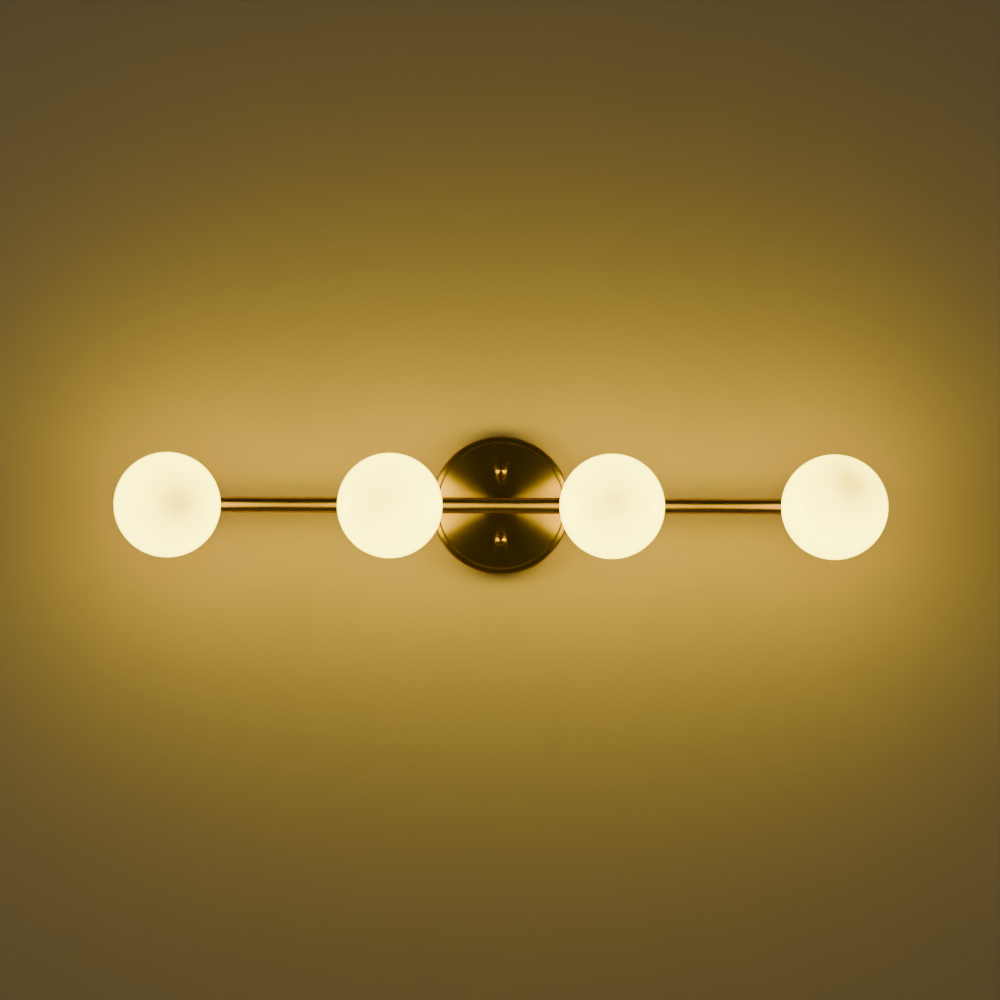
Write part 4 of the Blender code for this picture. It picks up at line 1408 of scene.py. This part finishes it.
@dataclass
class LampPoint:
    """One lamp's cup, ring, lampholder, lamp, gasket and globe, on its post in front of the bar."""

    cabinet: Cabinet
    bar: Bar
    index: int
    # Where this globe's glow carries its painted shade, and how deep it is.
    shade: PaintedShade
    threads: Threads = Threads()
    light: Colour = (1.0, 0.85, 0.05)
    post_bore: float = 3.2 * MM
    post_hole: float = 5.25 * MM
    cup_sheet: float = 1.2 * MM
    cup_bend: float = 3 * MM
    slot_half: Point = (0.7 * MM, 1.8 * MM)
    slot_depth: float = 11 * MM
    rivet_radius: float = 1.3 * MM
    rivet_offset: float = 6 * MM
    pin_offset: float = 4.5 * MM
    pin_half: Point = (0.4 * MM, 1.5 * MM)
    base_height: float = 11.7 * MM
    base_root: float = 6.4 * MM
    diode_size: float = 2.0 * MM
    diode_rows: int = 7
    diode_columns: int = 8
    gasket_bore: float = 21.6 * MM
    gasket_gap: float = 0.45 * MM
    glass: float = 2.5 * MM
    neck_radius: float = 20.5 * MM
    neck_bore: float = 18 * MM

    @property
    def centre(self) -> Vector:
        """Gives the point on the wall behind the globe's centre."""
        return Extent.of(f"glass_globe_{self.index}").axis

    @property
    def place(self) -> Matrix:
        """Gives the matrix that puts a shape on the lamp's axis."""
        return Facing.OUTWARD.matrix(self.centre)

    def build(self) -> None:
        """Builds every piece on this lamp's own axis."""
        self.post()
        self.cup()
        self.ring()
        self.holder()
        self.lamp()
        self.gasket()
        self.globe()

    def span(self, node: str) -> tuple[float, float, float]:
        """Gives a solid's back depth, front depth and outer radius."""
        extent = Extent.of(f"{node}_{self.index}")
        return extent.back, extent.front, extent.up

    def post(self) -> None:
        """Builds the post with its coped collar, its threaded core and its nut inside the cup."""
        extent = Extent.of(f"cup_post_{self.index}")
        base = self.span("lamp_cup")[0] - self.bar.joint_gap
        before, after = 0.6 * MM, 0.8 * MM
        piece = Piece(f"cup_post_{self.index}_standoff")
        coped_post(piece, self.bar, extent.up, base, extent, self.post_bore)
        length = extent.front - base - before - after
        wound = self.bar.stem_thread.wind(self.cabinet, self.cabinet.inner_brass, length)
        start = self.place @ Matrix.Translation((0, 0, base + before))
        piece.add(wound, self.cabinet.inner_brass, start)
        piece.finish("fixture", "brushed_brass", f"cup_post_{self.index}")
        nut = Piece(f"post_nut_{self.index}_hexagon")
        hex_nut(nut, self.cabinet, Extent.of(f"post_nut_{self.index}"), self.post_hole)
        nut.finish("fixture", "zinc_steel", f"post_nut_{self.index}", crease=20)

    def cup(self) -> None:
        """Builds the pressed cup with a rounded floor and a rim rolled slightly outwards."""
        back, rim, radius = self.span("lamp_cup")
        sheet, bend, hole = self.cup_sheet, self.cup_bend, self.post_hole
        inner = radius - sheet
        corners = [(hole, back, 0), (radius, back, bend), (radius, rim, 0.5 * MM), (inner, rim, 0.5 * MM),
                   (inner, back + sheet, bend - sheet), (hole, back + sheet, 0)]
        cup = Piece(f"lamp_cup_{self.index}_pressed")
        cup.add(turned(corners, True, 160), self.cabinet.brass, self.place)
        cup.finish("fixture", "brushed_brass", f"lamp_cup_{self.index}")

    def ring(self) -> None:
        """Builds the threaded ring that the globe screws onto, with its inner ledge and lip."""
        back, front, flange = self.span("gallery_ring")
        floor, outer, bore = back + 1.8 * MM, 16 * MM, 13.9 * MM
        ledge, lip = (62 * MM, 63.4 * MM, 12 * MM), (66.4 * MM, 67.2 * MM, 13.2 * MM)
        corners = [
            (bore, back, 0.2 * MM), (flange, back, 0.3 * MM), (flange, floor, 0.6 * MM),
            (outer, floor, 0.5 * MM), (outer, front, 0.5 * MM), (bore, front, 0.4 * MM),
            (bore, lip[1], 0), (lip[2], lip[1], 0.15 * MM), (lip[2], lip[0], 0.15 * MM), (bore, lip[0], 0),
            (bore, ledge[1], 0), (ledge[2], ledge[1], 0.3 * MM), (ledge[2], ledge[0], 0.3 * MM),
            (bore, ledge[0], 0),
        ]
        thread = self.threads
        bead = thread.ring_crest - thread.bead
        wound = grow(self.cabinet.thread, self.cabinet.inner_brass, Radius=bead, Pitch=thread.pitch,
                     Turns=thread.ring_turns, Bead=thread.bead, Sides=16)
        start = self.place @ Matrix.Translation((0, 0, thread.ring_start))
        ring = Piece(f"gallery_ring_{self.index}_threaded")
        ring.add(turned(corners, True, 128), self.cabinet.inner_brass, self.place)
        ring.add(wound, self.cabinet.inner_brass, start)
        ring.finish("fixture", "brushed_brass", f"gallery_ring_{self.index}")

    def holder(self) -> None:
        """Builds the ceramic lampholder with its flange, its two pin slots and its rivets."""
        back, front, flange = self.span("lampholder")
        tail, body = 9.5 * MM, 10.5 * MM
        seat = (63.7 * MM, 66.1 * MM)
        corners = [(0, back, 0), (tail, back, 0.5 * MM), (tail, seat[0], 0), (flange, seat[0], 0.4 * MM),
                   (flange, seat[1], 0.5 * MM), (body, seat[1], 0.4 * MM), (body, front, 0.7 * MM),
                   (0, front, 0)]
        across, up = self.slot_half
        outline = oblong(-across, across, -up, up)
        cuts = []
        for side in (-1, 1):
            slot = soften(slab(outline, front - self.slot_depth, front + 4 * MM), 0.2 * MM)
            cuts.append((slot, self.place @ Matrix.Translation((side * self.pin_offset, 0, 0))))
        holder = Piece(f"lampholder_{self.index}_ceramic")
        holder.add(turned(corners, False), self.cabinet.ceramic, self.place, cuts)
        foot, edge, crown = front - 1 * MM, front + 0.1 * MM, front + 0.2 * MM
        wide = self.rivet_radius
        head = [(0, foot, 0), (wide, foot, 0), (wide, edge, 0.2 * MM), (0, crown, 0)]
        for side in (-1, 1):
            where = self.place @ Matrix.Translation((0, side * self.rivet_offset, 0))
            holder.add(turned(head, False, 32), self.cabinet.steel, where)
        holder.finish("fixture", "white_ceramic", f"lampholder_{self.index}")

    def lamp(self) -> None:
        """Builds the lamp's ceramic base with its pins, and its clear body over rows of diodes."""
        pins, top, shoulder = self.span("lamp_base")
        start, root = top - self.base_height, self.base_root
        corners = [(0, start, 0), (root, start, 0.4 * MM), (root, start + 6 * MM, 0.6 * MM),
                   (shoulder, start + 8 * MM, 0.5 * MM), (shoulder, top, 0.4 * MM), (0, top, 0)]
        base = Piece(f"lamp_base_{self.index}_ceramic")
        base.add(turned(corners, False, 72), self.cabinet.ceramic, self.place)
        across, up = self.pin_half
        outline = oblong(-across, across, -up, up)
        for side in (-1, 1):
            pin = soften(slab(outline, pins, start + 3 * MM), 0.18 * MM)
            base.add(pin, self.cabinet.steel, self.place @ Matrix.Translation((side * self.pin_offset, 0, 0)))
        base.finish(f"lamp_{self.index}", "white_ceramic", f"lamp_base_{self.index}")
        back, tip, radius = self.span("lamp_body")
        dome = arc(radius, tip - radius, 0, 90, 16)
        skin = turned([(0, back, 0), (radius, back, 0.5 * MM), *dome], False, 72)
        seats = grow(self.cabinet.diodes, self.cabinet.diode, Radius=radius - 0.1 * MM, Length=24 * MM,
                     Columns=self.diode_columns, Rows=self.diode_rows, Diode=self.diode_size)
        body = Piece(f"lamp_body_{self.index}_moulded")
        body.add(skin, self.cabinet.lamp_core, self.place)
        lift = self.place @ Matrix.Translation((0, 0, back + 14.5 * MM))
        body.add(seats, self.cabinet.diode, lift)
        body.finish(f"lamp_{self.index}", "clear_silicone", f"lamp_body_{self.index}")

    def gasket(self) -> None:
        """Builds the gasket between the cup's rim and the globe's shoulder."""
        back, _, outer = self.span("globe_gasket")
        inner = self.gasket_bore
        high, low = (self.sphere_depth(radius) - self.gasket_gap for radius in (outer, inner))
        corners = [(inner, back, 0.4 * MM), (outer, back, 0.4 * MM), (outer, high, 0.5 * MM),
                   (inner, low, 0.4 * MM)]
        gasket = Piece(f"globe_gasket_{self.index}_moulded")
        gasket.add(turned(corners, True, 144), self.cabinet.gasket, self.place)
        gasket.finish(f"gasket_{self.index}", "grey_silicone", f"globe_gasket_{self.index}")

    def sphere_depth(self, radius: float) -> float:
        """Gives the depth of the globe's rear surface at a radius."""
        front, sphere = self.span("glass_globe")[1:]
        return front - sphere - math.sqrt(sphere**2 - radius**2)

    def globe(self) -> None:
        """Builds the blown globe, one wall thick, with its threaded neck and its fire-polished rim."""
        rim, front, sphere = self.span("glass_globe")
        centre = front - sphere
        inside = sphere - self.glass
        outer_start = math.degrees(math.asin(self.neck_radius / sphere))
        inner_start = math.degrees(math.asin(self.neck_bore / inside))
        outside = arc(sphere, centre, outer_start - 90, 90, 84)
        hollow = arc(inside, centre, 90, inner_start - 90, 76)
        join, bend = outside[0], hollow[-1]
        rim_width = self.neck_radius - self.neck_bore
        corners = [
            (self.neck_bore, rim, rim_width * 0.48), (self.neck_radius, rim, rim_width * 0.48),
            (join[0], join[1], 0.8 * MM), *outside[1:-1], (0, front, 0),
        ]
        inner = [(0, front - self.glass, 0), *hollow[1:-1], (bend[0], bend[1], 0.6 * MM)]
        shell = turned([*inner, *corners], False, 144)
        thread = self.threads
        radius = thread.neck_crest + thread.bead
        milk = self.finish()
        wound = grow(self.cabinet.thread, milk, Radius=radius, Pitch=thread.pitch,
                     Turns=thread.neck_turns, Bead=thread.bead, Sides=16)
        start = self.place @ Matrix.Translation((0, 0, thread.neck_start))
        globe = Piece(f"glass_globe_{self.index}_blown")
        globe.add(shell, milk, self.place)
        globe.add(wound, milk, start)
        globe.finish(f"globe_{self.index}", "opal_glass", f"glass_globe_{self.index}", crease=60)

    def finish(self) -> bpy.types.Material:
        """Makes this globe's glass, centred on the globe, with its painted shade over the lamp's tip."""
        # Turns the painted shade's direction into a point on the globe's front.
        across, up = self.shade.across, self.shade.up
        towards = Vector((across, -math.sqrt(1 - across**2 - up**2), up))
        front, sphere = self.span("glass_globe")[1:]
        centre = self.centre + Vector((0, sphere - front, 0))
        return OpalGlass(f"opal_glass_{self.index}", self.light, self.cabinet.groups, centre, sphere,
                         towards, self.shade.depth).make()


@dataclass
class Wiring:
    """The lamps' sleeved leads, the wires that leave them, the terminal block and the earth lead."""

    cabinet: Cabinet
    bar: Bar
    sleeve_radius: float = 1.1 * MM
    wire_radius: float = 0.52 * MM
    drop: float = -3.2 * MM
    outer_lane: float = 39.8 * MM
    inner_lane: float = 43.4 * MM
    stem_lane: float = 1.35 * MM
    pole_spacing: float = 10 * MM
    pole_depth: float = 13.5 * MM
    pole_bore: float = 1.7 * MM
    screw_offset: float = 4.4 * MM
    screw_well: float = 2.3 * MM
    screw_head: float = 2.1 * MM
    earth_radius: float = 1.0 * MM
    barrel_radius: float = 1.28 * MM
    wires: Piece = field(default_factory=lambda: Piece("lead_tails"))

    def build(self) -> None:
        """Builds the leads, the block and the earth lead."""
        for index in range(1, 5):
            self.lead(index)
        self.wires.finish("fixture", "white_plastic")
        self.block()
        self.earth()

    def strand(self, points: Sequence[Sequence[float]], radius: float, material: bpy.types.Material,
               sides: int = 20) -> bpy.types.Mesh:
        """Sweeps a wire through points.

        Args:
            points: Points of (x, depth, z) in metres.
            radius: The wire's outer radius.
            material: Its insulation.
            sides: How many facets it has round it.

        Returns:
            The wire's mesh in the frame.
        """
        path = smooth_path([(x, -depth, z) for x, depth, z in points])
        line = bpy.data.meshes.new("path")
        line.from_pydata(path, [(k, k + 1) for k in range(len(path) - 1)], [])
        return grow(self.cabinet.wire, material, line, Radius=radius, Sides=sides)

    def lead(self, index: int) -> None:
        """Builds one lamp's sleeved lead from its lampholder to the canopy, and its two wires."""
        x = Extent.of(f"cup_post_{index}").axis.x
        way = 1 if x > 0 else -1
        outer = index in (1, 4)
        lane = self.outer_lane if outer else self.inner_lane
        lift = (-1 if outer else 1) * self.stem_lane
        drop, side = self.drop, way * self.stem_lane
        route = [
            (x, 61.8 * MM, 0), (x, 56 * MM, 0), (x, 50 * MM, 0),
            (x - way * 0.8 * MM, lane + 4.6 * MM, -0.9 * MM),
            (x - way * 3.3 * MM, lane + 1.4 * MM, -2.2 * MM),
            (x - way * 8 * MM, lane + 0.1 * MM, drop),
            (x - way * 14 * MM, lane, drop),
            (way * 40 * MM, lane, drop),
            (way * 12 * MM, lane, drop),
            (way * 6.5 * MM, lane - 0.3 * MM, drop),
            (way * 2.9 * MM, lane - 1.9 * MM, (drop + lift) / 2),
            (side, lane - 5.4 * MM, lift),
            (side, 26 * MM, lift),
            (side, 13 * MM, lift),
        ]
        if way > 0:
            route += [(1.35 * MM, 9.6 * MM, lift), (3.3 * MM, 7.3 * MM, 1.6 * lift),
                      (7.4 * MM, 7.0 * MM, 3.1 * lift), (12 * MM, 8.4 * MM, 4.2 * lift)]
        else:
            route += [(-1.3 * MM, 7.6 * MM, lift), (1.0 * MM, 4.5 * MM, lift),
                      (6.2 * MM, 4.0 * MM, 1.3 * lift), (12 * MM, 4.5 * MM, 2.0 * lift)]
        sleeve = self.strand(route, self.sleeve_radius, self.cabinet.sleeve, 24)
        lead = Piece(f"lamp_lead_{index}_sleeved")
        lead.add(sleeve, self.cabinet.sleeve, Matrix())
        lead.finish("fixture", "glass_fibre_sleeve", f"lamp_lead_{index}", crease=50)
        self.tails(index, route[-1], way)

    def tails(self, index: int, end: Sequence[float], way: int) -> None:
        """Builds the two wires that leave a sleeve and enter their poles.

        Args:
            index: The lamp's number, which gives the wires their own seats in the pole.
            end: The sleeve's end, as (x, depth, z).
            way: 1 for a lamp on the right and -1 for one on the left.
        """
        x, depth, z = end
        seats = {1: (-1, -1), 2: (-1, 1), 3: (1, 1), 4: (1, -1)}
        seat_y, seat_z = (0.62 * MM * share for share in seats[index])
        for pole, material in ((1, self.cabinet.live), (-1, self.cabinet.neutral)):
            goal = pole * self.pole_spacing + seat_z
            start = z + pole * 0.5 * MM
            bow = (0.8 if way > 0 else -0.3) * MM
            route = [(x - 3 * MM, depth, start), (x + 0.5 * MM, depth, start),
                     (x + 3.0 * MM, depth + bow, start + (goal - start) * 0.3),
                     (x + 6.2 * MM, (depth + self.pole_depth) / 2 + bow, start + (goal - start) * 0.86),
                     (x + 9.0 * MM, self.pole_depth + seat_y, goal),
                     (x + 16 * MM, self.pole_depth + seat_y, goal)]
            self.wires.add(self.strand(route, self.wire_radius, material, 14), material, Matrix())

    def block(self) -> None:
        """Builds the terminal block with ribs between its three poles, their bores and their screws."""
        extent = Extent.of("terminal_block")
        place, front = extent.place, extent.front
        width, height = extent.across, extent.up
        left, right = (extent.axis.x + way * (width + 2 * MM) for way in (-1, 1))
        body = soften(slab(oblong(-width, width, -height, height), extent.back, front), 0.8 * MM, 3)
        cuts, screws = [], []
        for rib in (-1, 1):
            groove = soften(slab(oblong(-2 * width, 2 * width, -0.7 * MM, 0.7 * MM), front - 3 * MM,
                                 front + 3 * MM), 0.2 * MM)
            cuts.append((groove, place @ Matrix.Translation((0, rib * self.pole_spacing / 2, 0))))
        for pole in (-1, 0, 1):
            across = Vector((0, -self.pole_depth, pole * self.pole_spacing))
            cuts.append((drill(self.pole_bore, left, right), Facing.RIGHT.matrix(across)))
            for side in (-1, 1):
                hole = place @ Matrix.Translation((side * self.screw_offset, pole * self.pole_spacing, 0))
                cuts.append((drill(self.screw_well, front - 4 * MM, front + 2 * MM), hole))
                screws.append(hole)
        block = Piece("terminal_block_moulded")
        block.add(body, self.cabinet.plastic, place, cuts)
        radius, top = self.screw_head, front - 1.6 * MM
        foot = top - 2.2 * MM
        for hole in screws:
            head = turned([(0, foot, 0), (radius, foot, 0), (radius, top, 0.3 * MM), (0, top, 0)], False, 40)
            drive = slab(oblong(-3 * MM, 3 * MM, -0.35 * MM, 0.35 * MM), top - 0.8 * MM, top + 1 * MM)
            turn = hole @ Matrix.Rotation(math.radians(35), 4, "Z")
            block.add(head, self.cabinet.terminal_brass, hole, [(drive, turn)])
        block.finish("fixture", "white_plastic", "terminal_block")

    def earth(self) -> None:
        """Builds the earth lead from the middle pole to its ring terminal under the green screw."""
        screw = Extent.of("ground_screw")
        route = [(24, 13.5, 0), (19.5, 13.7, 0.4), (16.8, 14.2, 4.2), (14.8, 12.4, 9.4), (10.5, 8, 12.8),
                 (7, 4.6, 13.8)]
        points = [(x * MM, depth * MM, z * MM) for x, depth, z in route]
        points.append((screw.across + 0.6 * MM, 3.4 * MM, screw.axis.z))
        lead = Piece("ground_lead_insulated")
        earth, steel = self.cabinet.earth, self.cabinet.steel
        lead.add(self.strand(points, self.earth_radius, earth, 24), earth, Matrix())
        end, before = Vector(points[-1]), Vector(points[-2])
        barrel = [end.lerp(before, share) for share in (0, 0.45, 0.9)]
        lead.add(self.strand(barrel, self.barrel_radius, steel, 28), steel, Matrix())
        under, over, bore = 2.03 * MM, 2.27 * MM, 1.85 * MM
        ring = turned([(bore, under, 0), (3.4 * MM, under, 0.08 * MM), (3.4 * MM, over, 0.08 * MM),
                       (bore, over, 0)], True, 64)
        tongue = slab(oblong(2.6 * MM, end.x + 0.8 * MM, -1.1 * MM, 1.1 * MM), under, over)
        lead.add(ring, steel, screw.place).add(tongue, steel, screw.place)
        lead.finish("fixture", "ground_green", "ground_lead", crease=50)


# ---------------------------------------------------------------------------------------------------
# Studio and script


@dataclass
class Studio:
    """A pale wall and floor, soft lamps and the camera, straight in front of the light."""

    groups: Groups
    distance: float = 1.786
    lens: float = 63.2
    roll: float = -0.22
    floor_height: float = -1.1
    floor_reach: float = 9.0
    floor_lift: float = 0.22
    wall_half_width: float = 2.6
    wall_top: float = 2.2
    box_hole: float = 0.068
    sky_light: float = 0.06
    sky_lift: float = 0.25
    aim: Vector = field(default_factory=lambda: Vector((-0.0009, 0, 0.0056)))

    def build(self) -> None:
        """Builds the stage, its lamps and the camera."""
        wall = StagePaint("wall_paint", (0.74, 0.58, 0.34), self.groups, True).make()
        floor = StagePaint("floor_paint", (0.78, 0.77, 0.75), self.groups, lift=self.floor_lift).make()
        low, behind = self.floor_height, 0.5 * MM
        wide, far = self.wall_half_width, self.floor_reach
        upright = oblong(-wide, wide, low, self.wall_top)
        self.sheet("stage_wall", wall, [(x, behind, z) for x, z in upright], self.box_hole)
        self.sheet("stage_floor", floor, [(x, y, low) for x, y in oblong(-far, far, -far, far)])
        self.lamp("key", (-2.3, -1.5, 0.5), 1.5, 3.6, (1.0, 0.95, 0.86))
        self.lamp("fill", (2.4, -1.3, 0.2), 1.6, 2.1, (1.0, 0.96, 0.90))
        self.lamp("rear", (-0.7, 1.9, 0.9), 1.8, 30.0, (1.0, 0.98, 0.95))
        self.sky()
        self.camera()

    def sheet(self, name: str, material: bpy.types.Material, corners: Sequence[Place],
              hole: float = 0.0) -> None:
        """Makes one flat sheet of the stage.

        Args:
            name: The sheet's name.
            material: Its paint.
            corners: Its four corners.
            hole: The radius of a round hole about the frame's origin, or 0 for none.
        """
        shape = bmesh.new()
        ring = [shape.verts.new(corner) for corner in corners]
        edges = [shape.edges.new((ring[k - 1], ring[k])) for k in range(len(ring))]
        if hole:
            turns = [2 * math.pi * step / 96 for step in range(96)]
            depth = corners[0][1]
            inner = [shape.verts.new((hole * math.cos(t), depth, hole * math.sin(t))) for t in turns]
            edges += [shape.edges.new((inner[k - 1], inner[k])) for k in range(len(inner))]
        facing = Vector((0, -1, 0)) if hole else Vector((0, 0, 1))
        bmesh.ops.triangle_fill(shape, edges=edges, use_beauty=True, normal=facing)
        for face in shape.faces:
            if face.normal.dot(facing) < 0:
                face.normal_flip()
        mesh = bpy.data.meshes.new(name)
        shape.to_mesh(mesh)
        shape.free()
        mesh.materials.append(material)
        made = bpy.data.objects.new(name, mesh)
        bpy.context.scene.collection.objects.link(made)

    def lamp(self, name: str, place: Place, size: float, power: float, colour: Colour) -> None:
        """Hangs one soft square lamp that faces the light's centre and stays out of sight."""
        light = bpy.data.lights.new(name, "AREA")
        light.size, light.energy, light.color = size, power, colour
        made = bpy.data.objects.new(name, light)
        made.location = place
        made.rotation_euler = (self.aim - Vector(place)).to_track_quat("-Z", "Y").to_euler()
        made.visible_camera = False
        bpy.context.scene.collection.objects.link(made)

    def sky(self) -> None:
        """Surrounds the studio with a pale grey, which gives less light than it shows."""
        world = bpy.data.worlds.new("studio")
        world.use_nodes = True
        shader = ShaderTree(world.node_tree)
        seen = shader.node("ShaderNodeLightPath").outputs["Is Camera Ray"]
        strength = shader.reckon("MULTIPLY_ADD", seen, self.sky_lift, self.sky_light)
        backdrop = world.node_tree.nodes["Background"]
        shader.feed(backdrop, {"Color": (0.86, 0.84, 0.81, 1), "Strength": strength})
        bpy.context.scene.world = world

    def camera(self) -> None:
        """Places the camera in front of the light, all but level."""
        view = bpy.data.cameras.new("camera")
        view.lens, view.sensor_width = self.lens, 36
        view.clip_start = 0.02
        made = bpy.data.objects.new("camera", view)
        made.location = self.aim + Vector((0, -self.distance, 0))
        made.rotation_euler = (math.radians(90), math.radians(self.roll), 0)
        bpy.context.scene.collection.objects.link(made)
        bpy.context.scene.camera = made


def build_light(cabinet: Cabinet) -> None:
    """Builds every sub-assembly of the light.

    Args:
        cabinet: The finishes and shared trees.
    """
    WallBracket(cabinet).build()
    Canopy(cabinet).build()
    bar = Bar(cabinet)
    bar.build()
    # Where each globe's painted shade lies, and how deep it is.
    painted_shades = (PaintedShade(0.38, 0.03, 0.95), PaintedShade(-0.19, 0.12, 0.5),
              PaintedShade(-0.06, 0.08, 0.65), PaintedShade(0.14, 0.45, 0.95))
    for index, shade in enumerate(painted_shades, 1):
        LampPoint(cabinet, bar, index, shade).build()
    Wiring(cabinet, bar).build()


def main() -> None:
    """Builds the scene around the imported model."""
    logging.basicConfig(level=logging.INFO, format="%(name)s %(message)s")
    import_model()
    cabinet = Cabinet.stock()
    build_light(cabinet)
    Studio(cabinet.groups).build()


if __name__ == "__main__":
    main()
